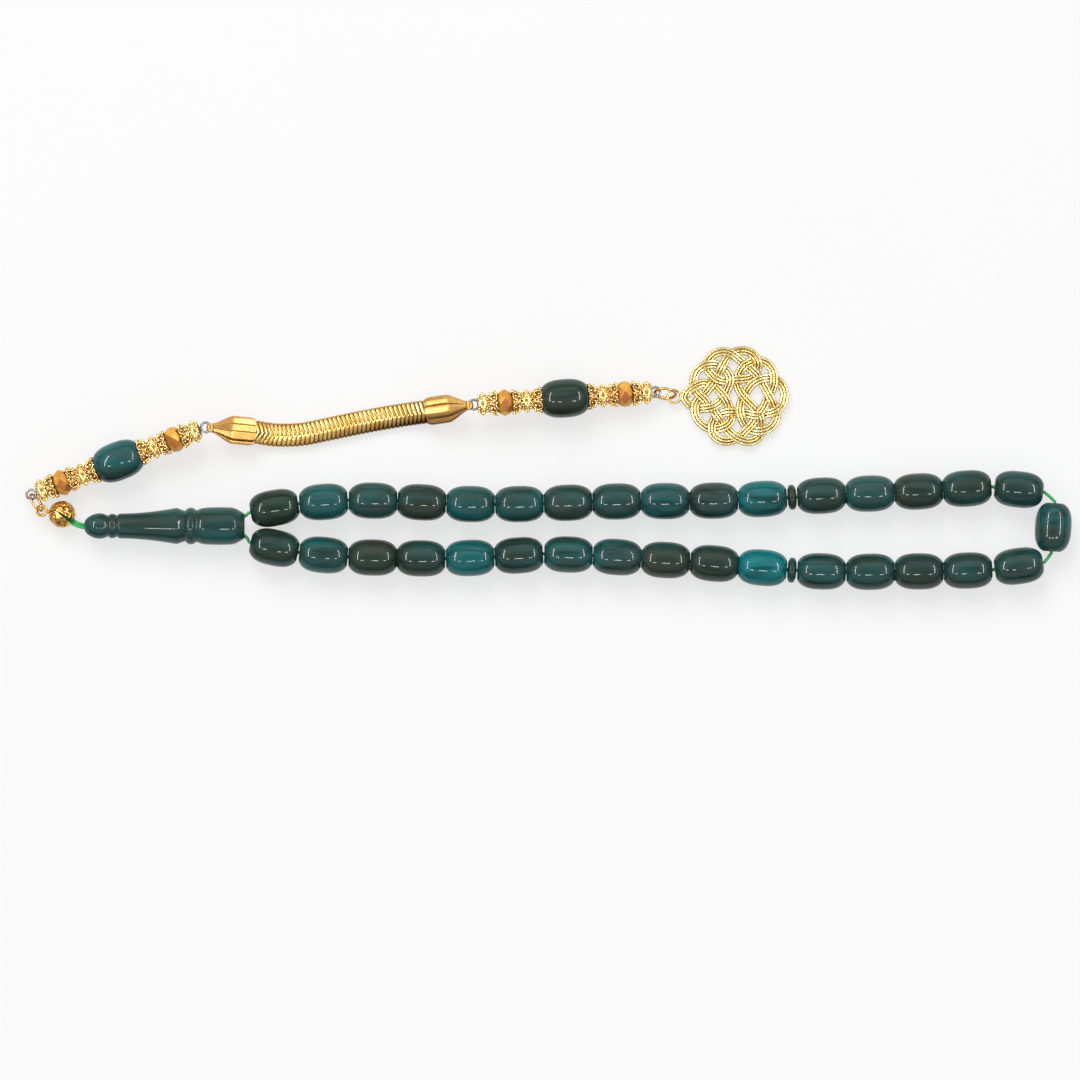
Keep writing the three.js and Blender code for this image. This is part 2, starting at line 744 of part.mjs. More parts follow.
function farEye(eyeCentre, degrees, tilt, half) {
  const rise = half * 2 * Math.sin(THREE.MathUtils.degToRad(tilt));
  const reach = half * 2 * Math.cos(THREE.MathUtils.degToRad(tilt));
  return eyeCentre.clone().add(heading(degrees, reach, rise));
}

// A leaning ring that passes through two holes. It is placed by the height of its centre, so that its wire
// crosses the first hole's plane at that hole's centre.

function leaningRing(ring, from, degrees, centreHeight) {
  const lean = THREE.MathUtils.degToRad(ring.lean);
  const alongAt = (height) => {
    const lift = (height - centreHeight) / (ring.ringRadius * Math.sin(lean));
    return { back: ring.ringRadius * Math.sqrt(1 - lift * lift), side: ring.ringRadius * lift * Math.cos(lean) };
  };
  const near = alongAt(from.z);
  const centre = from.clone().add(heading(degrees, near.back)).add(heading(degrees + 90, -near.side));
  centre.z = centreHeight;
  const farPoint = (height) => {
    const far = alongAt(height);
    const point = centre.clone().add(heading(degrees, far.back)).add(heading(degrees + 90, far.side));
    point.z = height;
    return point;
  };
  return { centre, degrees, lean, farPoint };
}

function ringMesh(name, ring, placed) {
  const frame = frameAt(placed.centre, placed.degrees);
  const mesh = piece(name, wireRing(ring.ringRadius, ring.wireDiameter), gold);
  mesh.rotation.x = placed.lean;
  frame.add(mesh);
  return frame;
}

const firstEyeHeight = pinHeight - eyeRise(firstHalf);
const knotRingHeight = (clamshellRadius + firstEyeHeight) / 2;
const knotRingPlace = leaningRing(knotRing, hookCentre, firstPin.ringHeading, knotRingHeight);
beads.add(ringMesh('jump_ring_knot', knotRing, knotRingPlace));

const firstEye = knotRingPlace.farPoint(firstEyeHeight);
pinSection('first', firstEye, firstPin.heading, pinTilt, firstHalf);
const firstFarEye = farEye(firstEye, firstPin.heading, pinTilt, firstHalf);

const secondEye = firstFarEye.clone().add(heading(chain.spanHeading, chain.span));
secondEye.z = pinHeight + eyeRise(secondHalf);
pinSection('second', secondEye, secondPin.heading, -pinTilt, secondHalf);
const secondFarEye = farEye(secondEye, secondPin.heading, -pinTilt, secondHalf);

// Folded end caps: the tongue is rolled round the eye's wire, and the wings fold over the chain's end

const pocketDepth = endCap.length * endCap.pocketShare;
const pocketWidth = chain.width * chain.endShare + clearance.pocket * 2;
const pocketThickness = chain.thickness * chain.endShare + clearance.pocket * 2;

function flatOutline(points) {
  const shape = new THREE.Shape();
  points.forEach(([x, y], index) => (index === 0 ? shape.moveTo(x, y) : shape.lineTo(x, y)));
  return shape;
}

function mirroredOutline(halfPoints) {
  const mirrored = [...halfPoints].reverse().map(([x, y]) => [x, -y]);
  return flatOutline([...mirrored, ...halfPoints].reverse());
}

function endCapGeometry() {
  const taperEnd = endCap.tipStart + endCap.length * endCap.taperShare;
  const wireClear = eye.wireDiameter / 2 + clearance.link;
  const plan = mirroredOutline([
    [wireClear, endCap.tongueWidth / 2],
    [endCap.tipStart, endCap.tongueWidth / 2],
    [endCap.tipStart, endCap.tipWidth / 2],
    [taperEnd, endCap.width / 2],
    [endCap.length, endCap.width / 2],
  ]);
  const side = mirroredOutline([
    [wireClear, endCap.tipThickness / 4],
    [endCap.tipStart, endCap.tipThickness / 2],
    [taperEnd, endCap.thickness / 2],
    [endCap.length, endCap.thickness / 2],
  ]);
  const planSolid = new THREE.ExtrudeGeometry(plan, { depth: endCap.thickness, bevelEnabled: false });
  planSolid.translate(0, 0, -endCap.thickness / 2);
  const sideSolid = new THREE.ExtrudeGeometry(side, { depth: endCap.width, bevelEnabled: false });
  sideSolid.rotateX(Math.PI / 2);
  sideSolid.translate(0, endCap.width / 2, 0);
  const pocketLength = pocketDepth + overrun;
  const pocket = new THREE.BoxGeometry(pocketLength, pocketWidth, pocketThickness);
  pocket.translate(endCap.length - pocketDepth + pocketLength / 2, 0, 0);
  const seam = new THREE.BoxGeometry(endCap.length, endCap.seamWidth, endCap.seamDepth * 2);
  seam.translate(taperEnd + endCap.length / 2, 0, endCap.thickness / 2);
  const body = cut(common(planSolid, sideSolid), pocket, seam);
  const roll = turned([
    [-endCap.tongueWidth / 2, wireClear],
    [-endCap.tongueWidth / 2, endCap.knuckleDiameter / 2],
    [endCap.tongueWidth / 2, endCap.knuckleDiameter / 2],
    [endCap.tongueWidth / 2, wireClear],
  ], section.segments).rotateZ(Math.PI / 2);
  return join(body, roll);
}

// A cap's place: at the point of the eye's wire that lies towards the chain
function capPlace(eyeCentre, degrees) {
  const origin = eyeCentre.clone().add(heading(degrees, eye.ringRadius, eyeRise(eye.ringRadius)));
  const along = heading(degrees, Math.cos(THREE.MathUtils.degToRad(endCap.pitch)));
  along.z = -Math.sin(THREE.MathUtils.degToRad(endCap.pitch));
  return { origin, degrees, along };
}

const leftCap = capPlace(firstFarEye, endCap.leftHeading);
const rightCap = capPlace(secondEye, endCap.rightHeading + 180);

for (const [name, place] of [['chain_cap_left', leftCap], ['chain_cap_right', rightCap]]) {
  const frame = frameAt(place.origin, place.degrees, -endCap.pitch);
  frame.add(piece(name, endCapGeometry(), satinGold));
  beads.add(frame);
}

// Snake chain: ribbed rings of eight points along a curve between the two pockets

const chainHeight = chain.thickness / 2 + chain.tableClear;

function chainCurve() {
  const pocketEnd = endCap.length - pocketDepth + clearance.pocket;
  const leftStart = leftCap.origin.clone().addScaledVector(leftCap.along, pocketEnd);
  const leftMouth = leftCap.origin.clone().addScaledVector(leftCap.along, endCap.length);
  const rightStart = rightCap.origin.clone().addScaledVector(rightCap.along, pocketEnd);
  const rightMouth = rightCap.origin.clone().addScaledVector(rightCap.along, endCap.length);
  const between = rightMouth.clone().sub(leftMouth).setZ(0);
  const across = new THREE.Vector3(-between.y, between.x, 0);
  const lying = chainDriftShares.map(([along, drift]) => {
    const point = leftMouth.clone().addScaledVector(between, along).addScaledVector(across, drift);
    const lifted = Math.max(0, 1 - Math.min(along, 1 - along) * 6);
    point.z = THREE.MathUtils.lerp(chainHeight, leftMouth.z, lifted * lifted * 0.5);
    return point;
  });
  const points = [leftStart, leftMouth, ...lying, rightMouth, rightStart];
  return new THREE.CatmullRomCurve3(points, false, 'centripetal');
}

function chainGeometry() {
  const curve = chainCurve();
  const length = curve.getLength();
  const hidden = (pocketDepth - clearance.pocket) / length;
  const corner = [1, 0.5, -0.5, -1, -1, -0.5, 0.5, 1];
  const height = [0.5, 1, 1, 0.5, -0.5, -1, -1, -0.5];
  const rings = [[0, chain.endShare, 0], [hidden, chain.endShare, 0]];
  for (let rib = 0; rib < chain.ribs; rib += 1) {
    const start = hidden + ((1 - hidden * 2) * (rib + 0.25)) / (chain.ribs + 1);
    const middle = hidden + ((1 - hidden * 2) * (rib + 0.7)) / (chain.ribs + 1);
    rings.push([start, chain.valleyShare, 1], [middle, 1, 1]);
  }
  rings.push([1 - hidden, chain.endShare, 0], [1, chain.endShare, 0]);
  const positions = [];
  for (const [place, size, chevron] of rings) {
    const centre = curve.getPointAt(Math.min(place, 1));
    const along = curve.getTangentAt(Math.min(place, 1));
    const across = new THREE.Vector3(-along.y, along.x, 0).normalize();
    const up = new THREE.Vector3().crossVectors(along, across);
    corner.forEach((sideShare, index) => {
      const point = centre.clone()
        .addScaledVector(across, (sideShare * size * chain.width) / 2)
        .addScaledVector(up, (height[index] * size * chain.thickness) / 2)
        .addScaledVector(along, chevron * (1 - Math.abs(sideShare)) * chain.chevron);
      positions.push(...point.toArray());
    });
  }
  const sides = corner.length;
  const index = [];
  for (let ring = 0; ring < rings.length - 1; ring += 1) {
    for (let side = 0; side < sides; side += 1) {
      const a = ring * sides + side;
      const b = ring * sides + ((side + 1) % sides);
      index.push(a, b, a + sides, b, b + sides, a + sides);
    }
  }
  const lastRing = (rings.length - 1) * sides;
  for (let side = 1; side < sides - 1; side += 1) {
    index.push(0, side + 1, side);
    index.push(lastRing, lastRing + side, lastRing + side + 1);
  }
  const geometry = new THREE.BufferGeometry();
  geometry.setAttribute('position', new THREE.Float32BufferAttribute(positions, 3));
  geometry.setIndex(index);
  geometry.computeVertexNormals();
  return geometry;
}

beads.add(piece('snake_chain', chainGeometry(), gold));

// Pendant: the strand's crown rises and dips in turn wherever the route crosses itself

function crossings(points) {
  const found = [];
  const count = points.length;
  for (let i = 0; i < count; i += 1) {
    for (let j = i + 2; j < count; j += 1) {
      if (i === 0 && j === count - 1) continue;
      const a = points[i];
      const r = points[(i + 1) % count].clone().sub(a);
      const c = points[j];
      const s = points[(j + 1) % count].clone().sub(c);
      const turn = r.cross(s);
      const offset = c.clone().sub(a);
      const onFirst = offset.cross(s) / turn;
      const onSecond = offset.cross(r) / turn;
      if (onFirst >= 0 && onFirst < 1 && onSecond >= 0 && onSecond < 1) found.push(i + onFirst, j + onSecond);
    }
  }
  return found.sort((first, second) => first - second);
}

function weaveHeights(points) {
  const passes = crossings(points);
  return points.map((_, index) => {
    const after = passes.findIndex((pass) => pass > index);
    const next = after < 0 ? 0 : after;
    const before = (next + passes.length - 1) % passes.length;
    const from = passes[before] - (passes[before] > index ? points.length : 0);
    const to = passes[next] + (passes[next] < index ? points.length : 0);
    const share = (index - from) / (to - from);
    const startsHigh = before % 2 === 0 ? 1 : -1;
    return startsHigh * Math.cos(share * Math.PI);
  });
}

function strandPiece(points, crowns, first, last) {
  const half = pendant.strandWidth / 2;
  const count = points.length;
  const positions = [];
  for (let step = first; step <= last; step += 1) {
    const here = points[(step + count) % count];
    const before = points[(step - 1 + count) % count];
    const after = points[(step + 1) % count];
    const along = after.clone().sub(before).normalize();
    const crown = crowns[(step + count) % count];
    const edge = crown - pendant.shoulder;
    for (const [side, height] of [[-1, 0], [1, 0], [1, edge], [0.5, crown], [-0.5, crown], [-1, edge]]) {
      positions.push(here.x + along.y * side * half, here.y - along.x * side * half, height);
    }
  }
  const sides = 6;
  const index = [];
  const rings = last - first;
  for (let ring = 0; ring < rings; ring += 1) {
    for (let side = 0; side < sides; side += 1) {
      const a = ring * sides + side;
      const b = ring * sides + ((side + 1) % sides);
      index.push(a, a + sides, b, b, a + sides, b + sides);
    }
  }
  const end = rings * sides;
  for (let side = 1; side < sides - 1; side += 1) {
    index.push(0, side, side + 1);
    index.push(end, end + side + 1, end + side);
  }
  const geometry = new THREE.BufferGeometry();
  geometry.setAttribute('position', new THREE.Float32BufferAttribute(positions, 3));
  geometry.setIndex(index);
  return geometry;
}

function pendantGeometry() {
  const points = knotRouteShares.map(([x, y]) => new THREE.Vector2(x, y).multiplyScalar(pendant.radius));
  const crowns = weaveHeights(points).map((wave) => pendant.strandHeight + wave * pendant.weave);
  const perPiece = Math.ceil(points.length / pendant.pieces);
  const parts = [];
  for (let start = 0; start < points.length; start += perPiece) {
    parts.push(strandPiece(points, crowns, start, start + perPiece + 1));
  }
  const loopOuter = pendant.loopRadius + pendant.loopWidth / 2;
  const loopInner = pendant.loopRadius - pendant.loopWidth / 2;
  const half = pendant.loopThickness / 2;
  const loop = turned([[-half, loopInner], [-half, loopOuter], [half, loopOuter], [half, loopInner]], wire.turns);
  loop.rotateY(Math.PI / 2);
  loop.translate(-loopReach, 0, pendantLoopHeight);
  return join(...parts, loop);
}

const strandTip = -Math.min(...knotRouteShares.map(([x]) => x)) * pendant.radius + pendant.strandWidth / 2;
const loopReach = strandTip + pendant.loopRadius + pendant.loopWidth / 2 - pendant.loopOverlap;
const pendantLoopHeight = pendant.strandHeight + pendant.weave - pendant.loopThickness / 2 - pendant.loopDrop;
const pendantRingHeight = pendantRing.ringRadius * Math.sin(THREE.MathUtils.degToRad(pendantRing.lean))
  + pendantRing.wireDiameter / 2 + clearance.link / 2;
const pendantRingPlace = leaningRing(pendantRing, secondFarEye, secondPin.ringHeading, pendantRingHeight);
beads.add(ringMesh('jump_ring_pendant', pendantRing, pendantRingPlace));

const loopCentre = pendantRingPlace.farPoint(pendantLoopHeight).setZ(0);
const pendantCentre = loopCentre.clone().add(heading(pendant.heading, loopReach));
const pendantMesh = piece('knot_pendant', pendantGeometry(), gold);
pendantMesh.position.copy(pendantCentre);
pendantMesh.rotation.z = THREE.MathUtils.degToRad(pendant.heading);
beads.add(pendantMesh);

// The origin is on the table, under the middle of the whole layout

const model = new THREE.Group();
model.add(beads);
model.updateMatrixWorld(true);
const box = new THREE.Box3();
beads.traverse((child) => {
  if (child.isMesh) box.union(new THREE.Box3().setFromObject(child, true));
});
const middle = box.getCenter(new THREE.Vector3());
beads.position.set(-middle.x, -middle.y, -box.min.z);

export default model;
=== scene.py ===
"""Misbaha prayer beads with a jointed tassel, laid flat on a pale table.

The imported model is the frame. Every visible piece is modelled here in metres around it:
polished barrel beads on a twisted cord, a turned leader, and a gold tassel of studded crowns,
a snake chain and a knot pendant.
"""

from __future__ import annotations

import json
import logging
import math
from contextlib import contextmanager
from dataclasses import dataclass, field
from enum import Enum
from typing import Callable, Iterator, Sequence

import bpy
from mathutils import Matrix, Vector, noise

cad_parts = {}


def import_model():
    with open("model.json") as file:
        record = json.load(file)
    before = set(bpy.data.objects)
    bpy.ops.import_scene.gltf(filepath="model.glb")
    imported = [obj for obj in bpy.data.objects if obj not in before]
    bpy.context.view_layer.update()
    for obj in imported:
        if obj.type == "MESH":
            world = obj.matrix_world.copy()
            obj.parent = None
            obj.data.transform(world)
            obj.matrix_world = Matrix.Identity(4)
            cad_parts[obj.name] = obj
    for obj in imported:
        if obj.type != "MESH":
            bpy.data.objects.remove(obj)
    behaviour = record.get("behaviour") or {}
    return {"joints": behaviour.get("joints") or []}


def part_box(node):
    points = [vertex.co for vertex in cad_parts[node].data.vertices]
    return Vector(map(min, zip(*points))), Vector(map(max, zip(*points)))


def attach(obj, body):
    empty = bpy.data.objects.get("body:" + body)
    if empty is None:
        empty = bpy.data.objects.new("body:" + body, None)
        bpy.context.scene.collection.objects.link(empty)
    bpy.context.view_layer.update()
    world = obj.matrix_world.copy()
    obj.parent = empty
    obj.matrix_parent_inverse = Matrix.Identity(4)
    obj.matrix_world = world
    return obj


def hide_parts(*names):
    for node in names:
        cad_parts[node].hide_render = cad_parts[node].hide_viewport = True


LOG = logging.getLogger("misbaha")

MM = 0.001
QUARTER = 90
# Sharper edges than this, in degrees, stay sharp on drawn wire and castings
WIRE_EDGE = 60
# Closer points than this are merged
MERGE = 1e-7
# Two stretches of a strand cross only where they start closer together than this
NEARNESS = 2 * MM
Outline = list[tuple[float, float]]
Colour = tuple[float, float, float, float]


def srgb(red: int, green: int, blue: int) -> Colour:
    """Turn a colour as it is seen on a screen, 0 to 255, into a linear one.

    Args:
        red: Red level.
        green: Green level.
        blue: Blue level.

    Returns:
        The linear colour with an alpha of 1.
    """

    def linear(level: int) -> float:
        """Give one channel's linear value."""
        share = level / 255
        return share / 12.92 if share <= 0.04045 else ((share + 0.055) / 1.055) ** 2.4

    return (linear(red), linear(green), linear(blue), 1.0)


# Shader expressions


class Value:
    """A socket's value that operators can be used on; each operator adds a Math node."""

    def __init__(self, shader: Shader, socket: bpy.types.NodeSocket) -> None:
        """Keep the socket and the shader that it belongs to."""
        self.shader = shader
        self.socket = socket

    def maths(self, operation: str, *others: Value | float, flip: bool = False) -> Value:
        """Add a Math node.

        Args:
            operation: The node's operation.
            *others: The further inputs.
            flip: Whether this value comes second.

        Returns:
            The node's result.
        """
        inputs = [self, *others]
        if flip:
            inputs.reverse()
        return self.shader.node("ShaderNodeMath", {"operation": operation}, inputs, "Value")

    def __add__(self, other: Value | float) -> Value:
        """Add."""
        return self.maths("ADD", other)

    __radd__ = __add__

    def __sub__(self, other: Value | float) -> Value:
        """Subtract."""
        return self.maths("SUBTRACT", other)

    def __rsub__(self, other: float) -> Value:
        """Subtract this from a number."""
        return self.maths("SUBTRACT", other, flip=True)

    def __mul__(self, other: Value | float) -> Value:
        """Multiply."""
        return self.maths("MULTIPLY", other)

    __rmul__ = __mul__

    def clamped(self) -> Value:
        """Keep the value between 0 and 1."""
        return self.maths("MAXIMUM", 0.0).maths("MINIMUM", 1.0)

    def between(self, low: float, high: float) -> Value:
        """Stretch the range from low to high over 0 to 1, and clamp it.

        Args:
            low: What becomes 0.
            high: What becomes 1.

        Returns:
            The stretched value.
        """
        return ((self - low) * (1.0 / (high - low))).clamped()


class Shader:
    """The nodes of one material or world."""

    def __init__(self, tree: bpy.types.NodeTree) -> None:
        """Start from an empty tree."""
        self.tree = tree
        tree.nodes.clear()

    def node(
        self,
        kind: str,
        settings: dict[str, object],
        inputs: Sequence[object] | dict[str, object],
        output: str | int = 0,
    ) -> Value:
        """Add a node.

        Args:
            kind: The node's type.
            settings: Properties, which are set first.
            inputs: Values or links of its sockets, in order or by name.
            output: The socket that is wanted.

        Returns:
            The wanted output.
        """
        made = self.tree.nodes.new(kind)
        for name, setting in settings.items():
            setattr(made, name, setting)
        pairs = inputs.items() if isinstance(inputs, dict) else enumerate(inputs)
        for key, given in pairs:
            self.feed(made.inputs[key], given)
        return Value(self, made.outputs[output])

    def feed(self, socket: bpy.types.NodeSocket, given: object) -> None:
        """Link a value to a socket, or set the socket to a plain one."""
        if isinstance(given, Value):
            self.tree.links.new(given.socket, socket)
        else:
            socket.default_value = given

    def place(self, scale: tuple[float, float, float] = (1.0, 1.0, 1.0)) -> Value:
        """Give the place on the object, stretched.

        Args:
            scale: How much each axis is stretched.

        Returns:
            The place as a vector.
        """
        spot = self.node("ShaderNodeTexCoord", {}, [], "Object")
        return self.node("ShaderNodeMapping", {}, {"Vector": spot, "Scale": scale}, "Vector")

    def clouds(
        self, spot: Value, scale: float, detail: float = 3.0, distortion: float = 0.0
    ) -> Value:
        """Add a noise.

        Args:
            spot: Where it is read.
            scale: Clouds per metre.
            detail: How many finer layers it has.
            distortion: How far it is warped.

        Returns:
            The noise, about 0.5 on average.
        """
        sockets = {"Vector": spot, "Scale": scale, "Detail": detail, "Distortion": distortion}
        return self.node("ShaderNodeTexNoise", {}, sockets, "Fac")

    def blend(self, share: Value | float, first: object, second: object) -> Value:
        """Mix two colours.

        Args:
            share: How much of the second colour.
            first: The colour at 0.
            second: The colour at 1.

        Returns:
            The mixed colour.
        """
        made = self.tree.nodes.new("ShaderNodeMix")
        made.data_type = "RGBA"
        colours = [socket for socket in made.inputs if socket.type == "RGBA"]
        for socket, given in zip((made.inputs[0], *colours), (share, first, second)):
            self.feed(socket, given)
        return Value(self, next(socket for socket in made.outputs if socket.type == "RGBA"))

    def own(self, name: str) -> Value:
        """Read a piece's own attribute, which is 0 where it has none."""
        return self.node("ShaderNodeAttribute", {"attribute_name": name}, [], "Fac")

    def end(self, kind: str, surface: Value) -> None:
        """Lead the surface into the output node.

        Args:
            kind: Material or World.
            surface: The shader that is shown.
        """
        made = self.tree.nodes.new(f"ShaderNodeOutput{kind}")
        self.feed(made.inputs["Surface"], surface)

    def bump(self, height: Value, distance: float, strength: float) -> Value:
        """Turn a height into a normal.

        Args:
            height: The height, 0 to 1.
            distance: What a height of 1 is, in metres.
            strength: How strongly it shows.

        Returns:
            The normal.
        """
        sockets = {"Height": height, "Distance": distance, "Strength": strength}
        return self.node("ShaderNodeBump", {}, sockets, "Normal")


# Finishes


@dataclass(frozen=True)
class Finish:
    """A surface finish that a piece is dressed in."""

    name: str

    def surface(self, shader: Shader) -> dict[str, object]:
        """Give the sockets of the surface shader; each finish has its own."""
        raise NotImplementedError

    def material(self) -> bpy.types.Material:
        """Make the material, or find it if it is made."""
        found = bpy.data.materials.get(self.name)
        if found:
            return found
        made = bpy.data.materials.new(self.name)
        made.use_nodes = True
        shader = Shader(made.node_tree)
        skin = shader.node("ShaderNodeBsdfPrincipled", {}, self.surface(shader), "BSDF")
        shader.end("Material", skin)
        return made


@dataclass(frozen=True)
class PolishedStone(Finish):
    """Dark green stone, banded along the string in teal and olive brown, under a clear polish."""

    green: Colour = srgb(40, 60, 50)
    teal: Colour = srgb(0, 124, 130)
    olive: Colour = srgb(64, 58, 46)
    dark: Colour = srgb(14, 30, 28)
    band: float = 130.0
    reflectance: float = 0.3

    def surface(self, shader: Shader) -> dict[str, object]:
        """Mix the bands by place, leaning to the bead's own tint."""
        tint = shader.own("tint")
        broad = shader.clouds(shader.place((0.3, 1.0, 1.0)), self.band, 2.0, 0.5)
        bands = shader.clouds(shader.place((0.16, 1.3, 1.3)), self.band * 3, 3.0, 0.8)
        other = shader.clouds(shader.place((0.45, 1.2, 1.1)), self.band * 0.7, 2.0, 0.4)
        clouded = (broad - 0.5) * 2.2 * (tint * 0.8 + 0.2) + (bands - 0.5) * 0.8 * tint
        teal_share = tint * tint * 0.92 + clouded
        olive_share = (other - 0.5) * 4.5 + 0.34 - tint * 0.9
        base = shader.blend(teal_share.clamped(), self.green, self.teal)
        base = shader.blend(olive_share.clamped() * 0.7, base, self.olive)
        base = shader.blend(bands.between(0.5, 0.68) * 0.65, base, self.dark)
        worn = shader.clouds(shader.place(), 900.0, 4.0)
        return {
            "Base Color": base,
            "Roughness": worn.between(0.3, 0.8) * 0.008 + 0.07,
            "Specular IOR Level": self.reflectance,
        }


@dataclass(frozen=True)
class TwistedThread(Finish):
    """Bright green thread with fine fibres."""

    light: Colour = srgb(84, 236, 134)
    dark: Colour = srgb(14, 156, 74)
    # The painted shade in the grooves between the plies
    groove: Colour = srgb(0, 84, 40)

    def surface(self, shader: Shader) -> dict[str, object]:
        """Vary the green along the fibres, with painted shade between the plies."""
        spot = shader.place()
        fibres = shader.clouds(spot, 5200.0, 3.0, 1.5)
        broad = shader.clouds(spot, 700.0, 2.0)
        share = (fibres * 0.7 + broad * 0.5 - 0.1).between(0.2, 0.85)
        ply = shader.blend(share, self.dark, self.light)
        return {
            "Base Color": shader.blend(shader.own("recess_shade") * 0.8, ply, self.groove),
            "Roughness": fibres * 0.2 + 0.5,
            "Sheen Weight": 0.3,
            "Normal": shader.bump(fibres, 0.00004, 0.6),
        }


@dataclass(frozen=True)
class PlatedMetal(Finish):
    """Bright plated metal, with painted shade in its recesses."""

    bright: Colour
    deep: Colour
    # The colour of the painted shade in recesses, between parts and down the sides of wires
    recess_shade: Colour
    roughness: float
    metallic: float = 1.0
    grain: float = 320.0

    def surface(self, shader: Shader) -> dict[str, object]:
        """Vary tone and polish slightly, and darken the recesses with painted shade."""
        spot = shader.place()
        broad = shader.clouds(spot, self.grain, 3.0)
        fine = shader.clouds(spot, self.grain * 6.0, 4.0)
        recess_shade = shader.own("recess_shade").clamped()
        skin = shader.blend(broad.between(0.35, 0.7), self.bright, self.deep)
        return {
            "Base Color": shader.blend(recess_shade, skin, self.recess_shade),
            "Metallic": self.metallic,
            "Roughness": fine.between(0.3, 0.75) * 0.1 + self.roughness + recess_shade * 0.15,
        }


@dataclass(frozen=True)
class SatinCeramic(Finish):
    """Copper-brown satin coating of the faceted beads, with painted light and shade per facet."""

    # The painted light and the painted shade of the facets, and the colour of the veins
    light: Colour = srgb(255, 196, 78)
    dark: Colour = srgb(156, 72, 12)
    vein: Colour = srgb(206, 118, 40)

    def surface(self, shader: Shader) -> dict[str, object]:
        """Take the facet's painted light or shade and speckle it finely."""
        spot = shader.place()
        veins = shader.clouds(spot, 900.0, 4.0, 1.5)
        speckle = shader.clouds(spot, 3600.0, 3.0)
        skin = shader.blend(shader.own("tone"), self.light, self.dark)
        skin = shader.blend(veins.between(0.4, 0.7) * 0.45, skin, self.vein)
        return {
            "Base Color": skin,
            "Roughness": speckle * 0.12 + 0.3,
            "Metallic": 0.3,
            "Normal": shader.bump(speckle, 0.00001, 0.4),
        }


def plated(
    name: str, *colours: tuple[int, int, int], level: float, metal: float = 1.0
) -> PlatedMetal:
    """Give a plated metal by its colours as they are seen on a screen.

    Args:
        name: The finish's name.
        *colours: Its bright skin, its deeper skin and the painted shade of its recesses, each 0 to
                  255.
        level: Its roughness.
        metal: How metallic it is.

    Returns:
        The finish.
    """
    bright, deep, recess_shade = (srgb(*colour) for colour in colours)
    return PlatedMetal(name, bright, deep, recess_shade, level, metal)


class Look(Enum):
    """The finishes of the object, each with the record's material slot that it stands for."""

    STONE = ("green_stone", PolishedStone("polished_stone"))
    THREAD = ("cord", TwistedThread("twisted_thread"))
    # Each plated metal: its bright skin, its deeper skin, and the painted shade of its recesses
    GOLD = (
        "yellow_gold",
        plated("bright_gold", (255, 234, 172), (246, 204, 122), (126, 64, 10), level=0.12),
    )
    SATIN = (
        "satin_gold",
        plated("brushed_gold", (216, 168, 94), (198, 148, 74), (88, 48, 18), level=0.22, metal=0.6),
    )
    CHAIN = (
        "yellow_gold",
        plated("chain_gold", (244, 206, 130), (222, 164, 80), (70, 34, 4), level=0.14),
    )
    CAST = (
        "pale_gold",
        plated("cast_gold", (240, 224, 166), (230, 202, 128), (126, 70, 16), level=0.18),
    )
    WIRE = (
        "yellow_gold",
        plated("wire_gold", (240, 194, 112), (214, 158, 80), (104, 58, 16), level=0.16),
    )
    SILVER = (
        "silver_wire",
        plated("grey_wire", (176, 174, 178), (148, 146, 150), (44, 40, 40), level=0.14, metal=0.8),
    )
    BROWN = ("brown_bead", SatinCeramic("satin_brown"))


# Modelling steps


def limited(value: float) -> float:
    """Keep a number between 0 and 1."""
    return min(1.0, max(0.0, value))


def about_x(place: float, radius: float, angle: float) -> Vector:
    """Give a point round the X axis."""
    return Vector((place, radius * math.cos(angle), radius * math.sin(angle)))


def turn_about(axis: str, degrees: float) -> Matrix:
    """Give a turn about an axis through the origin."""
    return Matrix.Rotation(math.radians(degrees), 4, axis)


def deselect_all() -> None:
    """Select nothing, so that the next step acts on its own piece alone."""
    bpy.ops.object.select_all(action="DESELECT")


def select_only(*pieces: bpy.types.Object) -> None:
    """Select these pieces and make the first one active."""
    deselect_all()
    for piece in pieces:
        piece.select_set(True)
    bpy.context.view_layer.objects.active = pieces[0]


@contextmanager
def editing(piece: bpy.types.Object) -> Iterator[None]:
    """Open a piece alone in edit mode with all of it selected, and close it afterwards."""
    select_only(piece)
    bpy.ops.object.mode_set(mode="EDIT")
    bpy.ops.mesh.select_all(action="SELECT")
    yield
    bpy.ops.object.mode_set(mode="OBJECT")


def tidy(piece: bpy.types.Object, distance: float = 1e-6) -> bpy.types.Object:
    """Merge a piece's doubled vertices and turn its faces outwards."""
    with editing(piece):
        bpy.ops.mesh.remove_doubles(threshold=distance)
        bpy.ops.mesh.normals_make_consistent(inside=False)
    return piece


def close_ends() -> None:
    """Fill the open ends of the piece that is being edited."""
    bpy.ops.mesh.select_all(action="DESELECT")
    bpy.ops.mesh.select_non_manifold()
    bpy.ops.mesh.edge_face_add()


def settle(piece: bpy.types.Object, matrix: Matrix | None = None) -> bpy.types.Object:
    """Move a piece by a matrix and put its place into its mesh.

    Args:
        piece: The piece.
        matrix: Where it goes, or None where it already is.

    Returns:
        The same piece, at the origin, unturned and unscaled.
    """
    if matrix is not None:
        piece.matrix_world = matrix @ piece.matrix_world
    select_only(piece)
    bpy.ops.object.transform_apply(location=True, rotation=True, scale=True)
    return piece


def modified(piece: bpy.types.Object, kind: str, **settings: object) -> bpy.types.Object:
    """Apply a modifier to a piece.

    Args:
        piece: The piece.
        kind: The modifier's type.
        **settings: Its properties.

    Returns:
        The same piece.
    """
    modifier = piece.modifiers.new(kind.lower(), kind)
    for name, setting in settings.items():
        setattr(modifier, name, setting)
    select_only(piece)
    bpy.ops.object.modifier_apply(modifier=modifier.name)
    return piece


def linked(name: str, data: bpy.types.ID) -> bpy.types.Object:
    """Put new data into the scene as an object."""
    piece = bpy.data.objects.new(name, data)
    bpy.context.scene.collection.objects.link(piece)
    return piece


